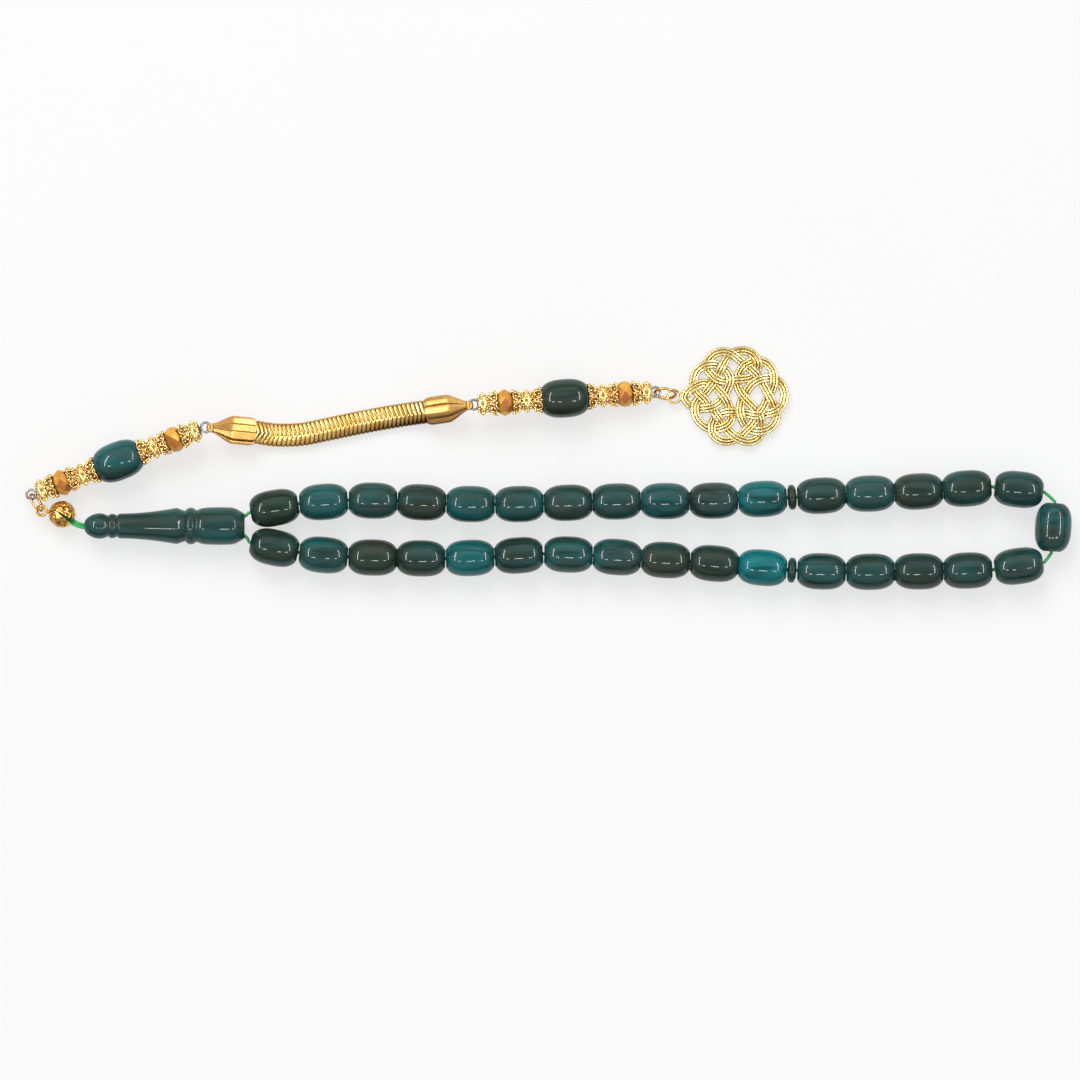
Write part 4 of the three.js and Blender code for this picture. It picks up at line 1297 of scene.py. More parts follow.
@dataclass
class Crown:
    """Gold pieces on a pin: petalled filigree caps and studded spacers, in one frame along X."""

    petals: int = 6
    petal_grains: int = 15
    waist: float = 1.3 * MM
    wire: float = 0.19 * MM
    grain: float = 0.36 * MM
    bore: float = 0.65 * MM
    cup_drop: float = 0.34 * MM
    cup_wall: float = 0.14 * MM
    cup_steps: int = 8
    # Painted shade, 0 to 1, that each kind of part takes by how deep it lies: the cup here, and
    # below the petal wire, the collar, the drum and the stud's seat
    cup_shade: float = 0.8
    cup_bow: float = 0.85
    sides: int = 36
    # A petal's loop runs about its middle place by its reach, and is widest at the rim
    petal_middle: float = 0.54
    petal_reach: float = 0.46
    petal_width: float = 0.86
    petal_flare: float = 0.18
    petal_lift: float = 0.04 * MM
    petal_wire: float = 0.8
    petal_grain: float = 1.12
    petal_shade: float = 0.2
    collar_rise: float = 0.18 * MM
    collar_flare: float = 0.1 * MM
    collar_share: float = 0.1
    collar_shade: float = 0.25
    collar_sides: int = 30
    drum_radius: float = 1.9 * MM
    drum_shade: float = 0.5
    drum_face: float = 0.8
    drum_bulge: float = 1.05
    bevel: float = 0.4 * MM
    edge_grains: int = 16
    edge_grain: float = 0.27 * MM
    edge_inset: float = 0.6
    edge_sink: float = 0.98
    stud_ring: float = 0.52 * MM
    stud_wire: float = 0.16 * MM
    stud_ball: float = 0.36 * MM
    # A stud's two rings: size as a share of the ring, and lift in millimetres
    ring_shares: tuple[tuple[float, float], ...] = ((1.12, 0.1), (0.9, 0.38))
    seat_share: float = 0.8
    seat_shade: float = 0.3
    ball_lift: float = 0.46 * MM
    hollow: float = 1.4 * MM
    hollow_depth: float = 0.8 * MM
    # A petal's granules: size, place from waist to rim, half petals aside, lift in millimetres
    granule_shares: tuple[tuple[float, float, float, float], ...] = (
        (1.0, 0.46, 0, 0.0), (0.7, 0.78, 0, -0.06), (0.85, 0.95, 1, -0.08), (0.75, 0.4, 1, 0.04),
    )
    parts: list[bpy.types.Object] = field(default_factory=list)

    def add(self, piece: bpy.types.Object, recess_shade: float = 0.0) -> None:
        """Keep a part, with painted shade by how deep it lies."""
        self.parts.append(marked(piece, "recess_shade", recess_shade))

    def cap(self, back: float, mouth: float, rim: float) -> None:
        """Build one cap: looped petals and granules on a thin cup.

        Args:
            back: Where its waist is along X.
            mouth: Where its rim is.
            rim: The rim's radius.
        """

        def spot(share: float, angle: float, lift: float = 0.0) -> Vector:
            """Give a point on the cup, from the waist at 0 to the rim at 1."""
            bend = share * math.pi / 2
            radius = self.waist + (rim - self.wire - self.waist) * math.sin(bend) + lift
            sweep = (1 - math.cos(bend)) ** self.cup_bow
            return about_x(back + (mouth - back) * sweep, radius, angle)

        shares = [step / self.cup_steps for step in range(self.cup_steps + 1)]
        outside = [spot(share, 0, -self.cup_drop * (0.5 + 0.5 * share)) for share in shares]
        inside = [point - Vector((0, self.cup_wall, 0)) for point in reversed(outside)]
        cup = [(point.x, point.y) for point in [*outside, *inside]]
        self.add(smooth(turned("cup", [(back, self.bore), *cup], self.sides)), self.cup_shade)
        half_petal = math.pi / self.petals
        for petal in range(self.petals):
            middle = math.tau * petal / self.petals
            loop = []
            for step in range(self.petal_grains):
                turn = math.tau * step / self.petal_grains
                share = self.petal_middle - self.petal_reach * math.cos(turn)
                flare = 1 - self.petal_flare * (1 - share)
                width = half_petal * self.petal_width * math.sin(turn) * flare
                loop.append(spot(share, middle + width, self.petal_lift * math.cos(turn)))
            self.add(wire_loop(loop, self.wire * self.petal_wire), self.petal_shade)
            for place in loop:
                self.add(granule(self.wire * self.petal_grain, place, 1))
            for size, share, aside, lift in self.granule_shares:
                place = spot(share, middle + half_petal * aside, lift * MM)
                self.add(granule(self.grain * size, place))
        edge = self.waist + self.collar_rise
        front = back + (mouth - back) * self.collar_share
        skin = [(back, edge), (front, edge + self.collar_flare)]
        outline = [(back, self.bore), *skin, (front, self.bore)]
        self.add(turned("collar", outline, self.collar_sides), self.collar_shade)

    def spacer(self, start: float, end: float, is_outer: bool) -> None:
        """Build one spacer: a drum with beaded rims and six ringed studs.

        Args:
            start: Where it starts along X.
            end: Where it ends.
            is_outer: Whether its far end is hollow, towards the pin's eye.
        """
        middle = (start + end) / 2
        face = self.drum_radius * self.drum_face
        drum = [
            (start, self.bore),
            (start, face),
            (start + self.bevel, self.drum_radius),
            (middle, self.drum_radius * self.drum_bulge),
            (end - self.bevel, self.drum_radius),
            (end, face),
        ]
        if is_outer:
            floor = end - self.hollow_depth
            drum += [(end, self.hollow), (floor, self.hollow), (floor, self.bore)]
        else:
            drum.append((end, self.bore))
        self.add(smooth(turned("drum", drum, self.sides)), self.drum_shade)
        for step in range(self.edge_grains):
            angle = math.tau * (step + 0.5) / self.edge_grains
            for place in (start + self.bevel * self.edge_inset, end - self.bevel * self.edge_inset):
                spot = about_x(place, self.drum_radius * self.edge_sink, angle)
                self.add(granule(self.edge_grain, spot, 1))
        for stud in range(self.petals):
            self.stud(Vector((middle, 0, 0)), about_x(0, 1, math.tau * stud / self.petals))

    def stud(self, middle: Vector, out: Vector) -> None:
        """Set one stud: two wire rings and the balls in them.

        Args:
            middle: The middle of the spacer.
            out: The way the stud points.
        """
        turn = out.to_track_quat("Z", "Y").to_matrix().to_4x4()
        seat = middle + out * self.drum_radius
        for size, lift in self.ring_shares:
            ring = wire_ring(self.stud_ring * size, self.stud_wire, steps=16)
            self.add(settle(ring, Matrix.Translation(seat + out * (lift * MM)) @ turn))
        low = seat + out * (self.ring_shares[0][1] * MM)
        self.add(granule(self.stud_ring * self.seat_share, low), self.seat_shade)
        self.add(granule(self.stud_ball, seat + out * self.ball_lift))

    def whole(self, name: str) -> bpy.types.Object:
        """Join the parts made so far."""
        piece = joined(name, self.parts)
        self.parts = []
        return smooth(piece, WIRE_EDGE)


@dataclass
class FacetedBead:
    """A round bead ground to rows of facets."""

    length: float = 4.1 * MM
    width: float = 5.8 * MM
    sides: int = 6
    bore: float = 0.65 * MM
    edge: float = 0.05 * MM
    edge_angle: float = 12.0
    # The facets at the waist, between it and the ends, and at the ends: lean along X, distance
    waist_share: float = 0.94
    slope_shares: tuple[float, float] = (0.62, 0.91)
    end_shares: tuple[float, float] = (1.5, 0.83)
    # How dark each facet is painted, from painted light at 0 to painted shade at 1, in order round
    # the bead
    facet_shade_shares: tuple[float, ...] = (0.05, 0.3, 0.9, 0.15, 0.45, 0.1, 0.75)

    def make(self) -> bpy.types.Object:
        """Grind a short drum by one plane after another, then drill it."""
        deselect_all()
        bpy.ops.mesh.primitive_cylinder_add(vertices=48, radius=self.width, depth=self.length)
        piece = settle(bpy.context.object, turn_about("Y", QUARTER))
        for turn in range(self.sides):
            angle = math.tau * turn / self.sides
            stagger = angle + math.pi / self.sides
            self.grind(piece, about_x(0, 1, angle), self.waist_share)
            for side in (-1, 1):
                for (lean, share), way in ((self.slope_shares, stagger), (self.end_shares, angle)):
                    self.grind(piece, about_x(side * lean, 1, way), share)
        end = Vector((self.length, 0, 0))
        cut(piece, rod_between(-end, end, self.bore))
        self.tone(piece)
        limit = math.radians(self.edge_angle)
        modified(
            piece, "BEVEL", width=self.edge, segments=2, limit_method="ANGLE", angle_limit=limit
        )
        return smooth(piece, self.edge_angle)

    def tone(self, piece: bpy.types.Object) -> None:
        """Paint light and shade on the facets, in a fixed order round the bead."""
        layer = piece.data.attributes.new("tone", "FLOAT", "FACE")
        facet_shades = []
        for face in piece.data.polygons:
            turn = math.atan2(face.normal.z, face.normal.y) / math.tau * self.sides * 2
            step = round(turn) + round(face.normal.x * 3)
            facet_shades.append(self.facet_shade_shares[step % len(self.facet_shade_shares)])
        layer.data.foreach_set("value", facet_shades)

    def grind(self, piece: bpy.types.Object, normal: Vector, share: float) -> None:
        """Grind one facet flat.

        Args:
            piece: The bead.
            normal: The way the facet faces.
            share: How far it is from the middle, as a share of the bead's radius.
        """
        normal = normal.normalized()
        place = normal * (self.width / 2 * share)
        with editing(piece):
            bpy.ops.mesh.bisect(plane_co=place, plane_no=normal, use_fill=True, clear_outer=True)


@dataclass
class PinSection:
    """One pin with an eye at both ends, and the seven pieces threaded on it."""

    frame: Frame
    prefix: str
    tint: float
    length: float
    shaft: float = 0.35 * MM
    eye_ring: float = 1.1 * MM
    eye_wire: float = 0.29 * MM
    eye_opening: float = 10.0
    eye_turn: float = 0.35
    eye_sides: int = 40
    shaft_sides: int = 16
    # Faces less upright than this take the pin's painted shade
    shade: float = 0.85
    green: Barrel = field(
        default_factory=lambda: Barrel(
            length=11.6 * MM,
            diameter=8.9 * MM,
            bore=0.65 * MM,
            roundness=2.6,
            overreach_share=1.03,
        )
    )
    faceted: FacetedBead = field(default_factory=FacetedBead)
    # Places along the pin from its middle
    green_rim: float = 5.45 * MM
    inner_back: float = 7.5 * MM
    inner_start: float = 7.6 * MM
    brown_back: float = 10.05 * MM
    inner_rim: float = 12.0 * MM
    outer_rim: float = 15.75 * MM
    outer_back: float = 17.65 * MM
    outer_start: float = 17.7 * MM
    spacer: float = 2.4 * MM
    green_rim_radius: float = 3.15 * MM
    brown_rim_radius: float = 2.95 * MM
    # Each side's heading, and how its brown bead is rolled about the pin
    sides: tuple[tuple[str, float, float], ...] = (("left", 180, 20), ("right", 0, 50))

    def build(self) -> None:
        """Build every piece of the section in its place."""
        node = f"{self.prefix}_green_bead"
        base = self.frame.threaded(node)
        self.pin(base)
        green = settle(self.green.make(f"{self.prefix}_polished_barrel"), base)
        finish_piece(marked(green, "tint", self.tint), Look.STONE, node)
        inner, outer = self.crowns()
        brown = self.faceted.make()
        reach = self.frame.centre(f"{self.prefix}_brown_bead_right") - self.frame.centre(node)
        along = Matrix.Translation((reach.length, 0, 0))
        for side, heading, roll in self.sides:
            turn = base @ turn_about("Z", heading)
            for pattern, kind in ((inner, "crown_inner"), (outer, "crown_outer")):
                node = f"{self.prefix}_{kind}_{side}"
                finish_piece(settle(copied(pattern, f"filigree_{node}"), turn), Look.GOLD, node)
            node = f"{self.prefix}_brown_bead_{side}"
            piece = settle(copied(brown, f"faceted_{node}"), turn @ along @ turn_about("X", roll))
            finish_piece(piece, Look.BROWN, node)
        for pattern in (inner, outer, brown):
            bpy.data.objects.remove(pattern)

    def crowns(self) -> tuple[bpy.types.Object, bpy.types.Object]:
        """Make the inner and the outer crown, facing right of the green bead."""
        crown = Crown()
        crown.cap(self.inner_back, self.green_rim, self.green_rim_radius)
        crown.spacer(self.inner_start, self.inner_start + self.spacer, False)
        crown.cap(self.brown_back, self.inner_rim, self.brown_rim_radius)
        inner = crown.whole("inner_crown_pattern")
        crown.cap(self.outer_back, self.outer_rim, self.brown_rim_radius)
        crown.spacer(self.outer_start, self.outer_start + self.spacer, True)
        return inner, crown.whole("outer_crown_pattern")

    def pin(self, base: Matrix) -> None:
        """Build the pin: a straight shaft whose ends are bent round into eyes."""
        half = self.length / 2
        reach = Vector((half - self.eye_ring, 0, 0))
        pieces = [rod_between(-reach, reach, self.shaft, self.shaft_sides)]
        for side, turn in ((-1, self.eye_turn), (1, math.pi + self.eye_turn)):
            eye = wire_ring(self.eye_ring, self.eye_wire, self.eye_opening, self.eye_sides)
            place = Matrix.Translation((side * half, 0, 0))
            pieces.append(settle(eye, place @ Matrix.Rotation(turn, 4, "Z")))
        whole = smooth(joined(f"{self.prefix}_eyed_pin", pieces), WIRE_EDGE)
        # Painted shade down the wire's sides and below
        settle(shaded_below(whole, 1.0, self.shade), base)
        finish_piece(whole, Look.SILVER, f"{self.prefix}_pin")


@dataclass
class SnakeChain:
    """The flat snake chain with its folded end caps, which move as one."""

    frame: Frame
    width: float = 5.5 * MM
    thickness: float = 2.6 * MM
    ribs: int = 48
    sides: int = 32
    chevron: float = 0.8 * MM
    ridge_share: float = 0.36
    # The painted shade on the lower slope: how much, and from where along the chain
    slope_shade: float = 1.2
    slope_start: float = 0.25
    edge_angle: float = 35.0
    cap_edge_angle: float = 32.0
    squareness: float = 2.4
    valley_share: float = 0.905
    play: float = 0.6 * MM
    floor_gap: float = 0.12 * MM
    # How much faster than its length the chain's ends come down to the table
    descent: float = 6.0
    # One rib: the share of its length that each step takes, the size it grows by, and its
    # painted shade, darkest between the ribs
    rib_shares: tuple[tuple[float, float, float], ...] = (
        (0.14, 1.07, 0.35), (0.22, 1.03, 0.0), (0.28, 1.0, 0.0), (0.22, 1 / 1.03, 0.35),
        (0.14, 1 / 1.07, 1.0),
    )
    cap_length: float = 10.4 * MM
    cap_half_width: float = 3.25 * MM
    cap_half_height: float = 1.75 * MM
    tip_half_width: float = 1.05 * MM
    tip_half_height: float = 0.66 * MM
    tongue: float = 0.45 * MM
    taper_end: float = 5.2 * MM
    taper_share: float = 0.45
    height_lead: float = 1.15
    corner: float = 0.9 * MM
    corner_share: float = 0.1
    sheet: float = 0.26 * MM
    roll_radius: float = 0.82 * MM
    roll_opening: float = 20.0
    roll_sides: int = 30
    # A little painted shade on the tongue's roll
    roll_shade: float = 0.1
    # The right cap's shade across it: its rise, its start and its most
    shade_rise: float = 1.4
    shade_start: float = 0.1
    shade_most: float = 0.75
    # How steeply and how roundly a folded wing goes down
    wing_rise: float = 7.0
    wing_bow: float = 0.6
    pocket: float = 4.576 * MM
    pocket_gap: float = 0.35 * MM
    eye_ring: float = 1.1 * MM
    eye_rise: float = 0.09 * MM
    pitch: float = 20.0
    left_bearing: float = -5.0
    right_bearing: float = 188.0
    tilts: tuple[float, float] = (-7.0, 9.0)
    # How far round a cap's sheet its plate reaches, and where its wings end short of each other
    plate_share: float = 0.6
    wing_share: float = 0.96
    # The plate's creases: how far beside them the level is read, where they end, and their painted
    # shade
    crease_reach: float = 0.09
    crease_end: float = 0.9
    crease_shade: float = 6.0
    tongue_narrowing: float = 0.42
    tongue_flatness: float = 0.86
    # How high the caps' tops are across them, from the lower edge at -1 to the upper one at 1
    plate_shares: tuple[tuple[float, float], ...] = (
        (-1.0, 0.0), (-0.97, 0.42), (-0.86, 0.7), (-0.78, 0.72), (-0.73, 0.52), (-0.66, 0.6),
        (-0.6, 0.84), (-0.12, 0.97), (-0.08, 0.9), (-0.04, 0.98), (0.38, 1.0), (0.44, 0.92),
        (0.5, 0.98), (0.84, 0.84), (0.96, 0.5), (1.0, 0.0),
    )
    fold_shares: tuple[tuple[float, float], ...] = (
        (-1.0, 0.0), (-0.97, 0.3), (-0.9, 0.42), (-0.66, 0.5), (-0.62, 0.44), (-0.58, 0.56),
        (-0.45, 0.82), (-0.2, 0.98), (0.0, 1.0), (0.16, 0.94), (0.28, 0.86), (0.33, 0.79),
        (0.37, 0.8), (0.41, 0.95), (0.46, 0.98), (0.7, 0.86), (0.9, 0.66), (0.97, 0.42), (1.0, 0.0),
    )
    # The chain's drift to the side, as shares of the distance between its caps
    drift_shares: tuple[tuple[float, float], ...] = (
        (0.09, -0.025), (0.18, -0.04), (0.28, -0.045), (0.4, -0.036), (0.63, -0.016),
        (0.85, -0.003),
    )

    def cap_place(self, eye: Vector, degrees: float) -> Matrix:
        """Give a cap's place: at the eye's far wire, pitched down towards the chain."""
        slope = math.radians(self.pitch)
        along = bearing(degrees, math.cos(slope), -math.sin(slope))
        return placed(eye + bearing(degrees, self.eye_ring, self.eye_rise), along)

    def centreline(self, left: Matrix, right: Matrix) -> list[Vector]:
        """Give the chain's centreline from pocket to pocket, as points of a smooth curve."""
        inside = Vector((self.cap_length - self.pocket + self.pocket_gap, 0, 0))
        mouth = Vector((self.cap_length, 0, 0))
        left_mouth, right_mouth = left @ mouth, right @ mouth
        between = right_mouth - left_mouth
        between.z = 0
        across = Vector((-between.y, between.x, 0))
        lying = []
        for along, drift in self.drift_shares:
            point = left_mouth + between * along + across * drift
            lifted = max(0.0, 1 - min(along, 1 - along) * self.descent)
            low = self.thickness / 2 + self.floor_gap
            point.z = low + (left_mouth.z - low) * lifted * lifted * 0.5
            lying.append(point)
        return [left @ inside, left_mouth, *lying, right_mouth, right @ inside]

    def build(self) -> None:
        """Build the ribbed chain and its two caps."""
        left = self.cap_place(self.frame.pivot("chain"), self.left_bearing)
        right = self.cap_place(self.frame.pivot("second_pin"), self.right_bearing)
        self.chain(self.centreline(left, right))
        for name, place in (("left", left), ("right", right)):
            finish_piece(settle(self.cap(name), place), Look.SATIN, "chain", f"chain_cap_{name}")

    def chain(self, points: list[Vector]) -> None:
        """Model one rib, repeat it along X and lay the row along the centreline."""
        curve = bpy.data.curves.new("chain_path", "CURVE")
        curve.dimensions = "3D"
        curve.twist_mode = "Z_UP"
        curve.resolution_u = 24
        spline = curve.splines.new("BEZIER")
        spline.bezier_points.add(len(points) - 1)
        first, last = self.tilts
        for index, (knot, place) in enumerate(zip(spline.bezier_points, points)):
            knot.co = place
            knot.handle_left_type = knot.handle_right_type = "AUTO"
            knot.tilt = math.radians(first + (last - first) * index / (len(points) - 1))
        path = linked("chain_path", curve)
        bpy.context.view_layer.update()
        rib = (spline.calc_length() - self.play) / self.ribs
        piece = self.rib(rib)
        piece.name = "ribbed_snake_chain"
        modified(
            piece,
            "ARRAY",
            count=self.ribs,
            use_relative_offset=False,
            use_constant_offset=True,
            constant_offset_displace=(rib, 0, 0),
            use_merge_vertices=True,
            merge_threshold=0.02 * MM,
        )
        modified(piece, "CURVE", object=path, deform_axis="POS_X")
        bpy.data.objects.remove(path)
        with editing(piece):
            close_ends()
        self.shade_slope(piece)
        smooth(tidy(piece, MERGE), self.edge_angle)
        finish_piece(piece, Look.CHAIN, "chain", "snake_chain")

    def shade_slope(self, piece: bpy.types.Object) -> None:
        """Tone the lower slope darker towards its right end, where it turns from the light."""
        places = [vertex.co.x for vertex in piece.data.vertices]
        first, last = min(places), max(places)
        layers = piece.data.attributes
        recesses = []
        for place, slope, old in zip(places, layers["slope"].data, layers["recess_shade"].data):
            share = (place - first) / (last - first)
            shade = max(0.0, share - self.slope_start) * self.slope_shade
            recesses.append(min(1.0, old.value + slope.value * shade))
        marked(piece, "recess_shade", recesses)

    def rib(self, length: float) -> bpy.types.Object:
        """Model one rib: a flat roof-shaped ring that points along the chain at its ridge.

        Args:
            length: The rib's length.

        Returns:
            The rib, open at both ends.
        """
        deselect_all()
        upright = (0, math.pi / 2, 0)
        bpy.ops.mesh.primitive_circle_add(vertices=self.sides, radius=1.0, rotation=upright)
        piece = settle(bpy.context.object)
        power = self.squareness
        for vertex in piece.data.vertices:
            side, up = vertex.co.y, vertex.co.z
            spread = (abs(side) ** power + abs(up) ** power) ** (-1 / power)
            side, up = side * spread, up * spread
            up *= 1 - self.ridge_share * abs(side)
            vertex.co = (
                self.chevron * (1 - abs(side)) - self.chevron / 2,
                side * self.width / 2 * self.valley_share,
                up * self.thickness / 2 * self.valley_share,
            )
        # The lower slope, where the painted shade towards the right end goes
        slopes = [limited(-vertex.co.y / self.width * 3) for vertex in piece.data.vertices]
        recesses = [1.0] * self.sides
        with editing(piece):
            for share, size, recess_shade in self.rib_shares:
                step = {"value": (length * share, 0, 0)}
                bpy.ops.mesh.extrude_edges_move(TRANSFORM_OT_translate=step)
                bpy.ops.transform.resize(value=(1, size, size), center_override=(0, 0, 0))
                recesses += [recess_shade] * self.sides
        marked(piece, "slope", slopes * (len(self.rib_shares) + 1))
        return marked(piece, "recess_shade", recesses)

    def cap_size(self, x: float) -> tuple[float, float]:
        """Give a cap's half width and half height at a place along it."""
        rise = limited((x - self.tongue) / (self.taper_end - self.tongue))
        smooth_rise = rise * rise * (3 - 2 * rise)
        swell = rise + (smooth_rise - rise) * self.taper_share
        width = self.tip_half_width + (self.cap_half_width - self.tip_half_width) * swell
        corner = 1 - limited((self.cap_length - x) / self.corner) ** 0.5
        lead = min(1.0, rise * self.height_lead)
        height = self.tip_half_height + (self.cap_half_height - self.tip_half_height) * lead
        return width * (1 - self.corner_share * corner), height

    def cap(self, side: str) -> bpy.types.Object:
        """Fold one end cap from sheet: a tongue round the eye, and wings under the chain's end.

        Args:
            side: left, which shows its creased plate, or right, which shows its folded wings.

        Returns:
            The cap, with its tongue at the origin and its mouth along X.
        """
        deselect_all()
        bpy.ops.mesh.primitive_grid_add(x_subdivisions=30, y_subdivisions=120, size=2)
        piece = bpy.context.object
        shares = self.plate_shares if side == "left" else self.fold_shares
        turn = 1 if side == "left" else -1
        recesses = []
        for vertex in piece.data.vertices:
            x = self.tongue + (self.cap_length - self.tongue) * (vertex.co.x + 1) / 2
            width, height = self.cap_size(x)
            round_share = vertex.co.y
            if abs(round_share) <= self.plate_share:
                across = round_share / self.plate_share
                level = at_share(shares, across * turn)
                reach = self.crease_reach
                beside = [at_share(shares, across * turn + step) for step in (-reach, reach)]
                # Painted shade in the plate's creases, and across the right cap
                groove = limited((sum(beside) / 2 - level) * self.crease_shade)
                crease = groove if abs(across) < self.crease_end else 0.0
                sloped = min(self.shade_most, max(0.0, across * self.shade_rise - self.shade_start))
                shade = sloped if side == "right" else 0.0
                recesses.append(max(crease, shade))
                vertex.co = (x, across * width, level * height)
            else:
                folded = (abs(round_share) - self.plate_share) / (1 - self.plate_share)
                inward = folded * self.wing_share
                depth = height * min(1.0, inward * self.wing_rise) ** self.wing_bow
                recesses.append(0.0)
                vertex.co = (x, math.copysign(1 - inward, round_share) * width, -depth)
        marked(piece, "recess_shade", recesses)
        modified(tidy(piece, MERGE), "SOLIDIFY", thickness=self.sheet, offset=-1)
        whole = joined(f"folded_cap_{side}", [piece, self.tongue_roll()])
        return smooth(whole, self.cap_edge_angle)

    def tongue_roll(self) -> bpy.types.Object:
        """Roll the tongue round the eye's wire: a band that is narrower inside the eye."""
        roll = wire_ring(self.roll_radius, self.sheet / 2, self.roll_opening, self.roll_sides)
        settle(roll, turn_about("X", QUARTER))
        for vertex in roll.data.vertices:
            inside = limited(-vertex.co.x / self.roll_radius)
            wide = self.tip_half_width * (1 - self.tongue_narrowing * inside)
            vertex.co.y *= wide / (self.sheet / 2)
            vertex.co.z *= self.tongue_flatness
        # A little painted shade all over the roll
        return marked(roll, "recess_shade", self.roll_shade)


@dataclass
class KnotPendant:
    """The cast pendant: one ridged strand plaited into a round knot, with its loop."""

    frame: Frame
    radius: float = 11.3 * MM
    strand_width: float = 2.05 * MM
    strand_height: float = 1.72 * MM
    weave: float = 0.42 * MM
    ridges: int = 3
    ridge_steps: int = 6
    ridge_rise: float = 0.34 * MM
    ridge_share: float = 0.94
    # Painted shade at the strand's outer edges, in its grooves, and where it dips under
    edge_shade: float = 0.35
    edge_share: float = 0.95
    flank_bow: float = 1.5
    section_shade: float = 0.8
    dip_shade: float = 0.25
    edge_angle: float = 70.0
    loop_sides: int = 44
    loop_steps: int = 12
    shoulder: float = 0.44 * MM
    arch: float = 0.1 * MM
    loop_reach: float = 15.053 * MM
    loop_outer: float = 1.82 * MM
    loop_inner: float = 1.2 * MM
    loop_half: float = 0.4 * MM
    loop_height: float = 1.65 * MM
    bearing_degrees: float = 0.5
    # The strand's closed route, as shares of the pendant's radius
    route_shares: tuple[tuple[float, float], ...] = (
        (-0.93, 0.32), (-0.88, 0.48), (-0.76, 0.6), (-0.6, 0.655), (-0.45, 0.64),
        (-0.3, 0.56), (-0.2, 0.42), (-0.19, 0.28), (-0.26, 0.1), (-0.36, -0.07),
        (-0.48, -0.18), (-0.64, -0.24), (-0.82, -0.25), (-0.97, -0.2), (-1.07, -0.1),
        (-1.11, -0.02), (-1.06, 0.08), (-0.95, 0.18), (-0.8, 0.255), (-0.65, 0.26),
        (-0.5, 0.2), (-0.37, 0.07), (-0.27, -0.08), (-0.2, -0.25), (-0.16, -0.42),
        (-0.21, -0.54), (-0.33, -0.63), (-0.5, -0.67), (-0.67, -0.63), (-0.82, -0.51),
        (-0.91, -0.34), (-0.9, -0.17), (-0.82, -0.05), (-0.7, 0.06), (-0.6, 0.19),
        (-0.51, 0.31), (-0.42, 0.46), (-0.34, 0.62), (-0.25, 0.77), (-0.1, 0.89),
        (0.08, 0.925), (0.25, 0.87), (0.35, 0.75), (0.385, 0.62), (0.34, 0.47),
        (0.24, 0.38), (0.08, 0.345), (-0.06, 0.335), (-0.17, 0.32), (-0.29, 0.305),
        (-0.42, 0.335), (-0.54, 0.42), (-0.63, 0.53), (-0.66, 0.64), (-0.61, 0.76),
        (-0.5, 0.86), (-0.34, 0.91), (-0.18, 0.88), (-0.04, 0.78), (0.09, 0.67),
        (0.22, 0.56), (0.34, 0.44), (0.43, 0.32), (0.5, 0.2), (0.58, 0.04),
        (0.66, -0.12), (0.72, -0.27), (0.755, -0.42), (0.7, -0.56), (0.58, -0.67),
        (0.42, -0.72), (0.27, -0.705), (0.15, -0.63), (0.06, -0.5), (0.01, -0.34),
        (0.02, -0.19), (0.06, -0.05), (0.15, 0.1), (0.25, 0.23), (0.38, 0.32),
        (0.52, 0.36), (0.67, 0.36), (0.8, 0.29), (0.89, 0.16), (0.92, 0),
        (0.88, -0.16), (0.78, -0.28), (0.64, -0.35), (0.5, -0.375), (0.38, -0.4),
        (0.26, -0.385), (0.12, -0.355), (-0.1, -0.325), (-0.22, -0.325), (-0.34, -0.345),
        (-0.46, -0.41), (-0.54, -0.52), (-0.57, -0.65), (-0.54, -0.78), (-0.43, -0.88),
        (-0.28, -0.92), (-0.13, -0.89), (0, -0.82), (0.14, -0.69), (0.27, -0.54),
        (0.38, -0.39), (0.48, -0.24), (0.56, -0.09), (0.63, 0.05), (0.69, 0.2),
        (0.705, 0.36), (0.68, 0.51), (0.59, 0.64), (0.48, 0.7), (0.36, 0.72),
        (0.24, 0.695), (0.12, 0.63), (0.03, 0.52), (-0.02, 0.4), (-0.04, 0.24),
        (0.03, 0.07), (0.14, -0.08), (0.27, -0.21), (0.37, -0.32), (0.42, -0.45),
        (0.44, -0.6), (0.43, -0.76), (0.34, -0.88), (0.19, -0.93), (0.03, -0.9),
        (-0.11, -0.82), (-0.24, -0.7), (-0.34, -0.57), (-0.44, -0.43), (-0.53, -0.29),
        (-0.64, -0.16), (-0.76, -0.02), (-0.87, 0.1), (-0.93, 0.2),
    )
    finer: int = 4

    def fine_route(self) -> list[Vector]:
        """Round the route off with a smooth curve through its points."""
        row = [Vector(share) for share in self.route_shares]
        row = [row[-1], *row, *row[:2]]
        fine = []
        for before, here, there, after in zip(row, row[1:], row[2:], row[3:]):
            for step in range(self.finer):
                fine.append(on_curve(before, here, there, after, step / self.finer) * self.radius)
        return fine

    @staticmethod
    def passes(route: list[Vector]) -> list[float]:
        """Find where the route crosses itself, as places along it in order."""
        found: list[float] = []
        count = len(route)
        for i in range(count):
            a, b = route[i], route[(i + 1) % count]
            r = b - a
            for j in range(i + 2, count):
                if i == 0 and j == count - 1:
                    continue
                c = route[j]
                if abs(c.x - a.x) > NEARNESS or abs(c.y - a.y) > NEARNESS:
                    continue
                s = route[(j + 1) % count] - c
                turn = r.x * s.y - r.y * s.x
                if turn == 0:
                    continue
                gap = c - a
                on_first = (gap.x * s.y - gap.y * s.x) / turn
                on_second = (gap.x * r.y - gap.y * r.x) / turn
                if 0 <= on_first < 1 and 0 <= on_second < 1:
                    found += [i + on_first, j + on_second]
        return sorted(found)

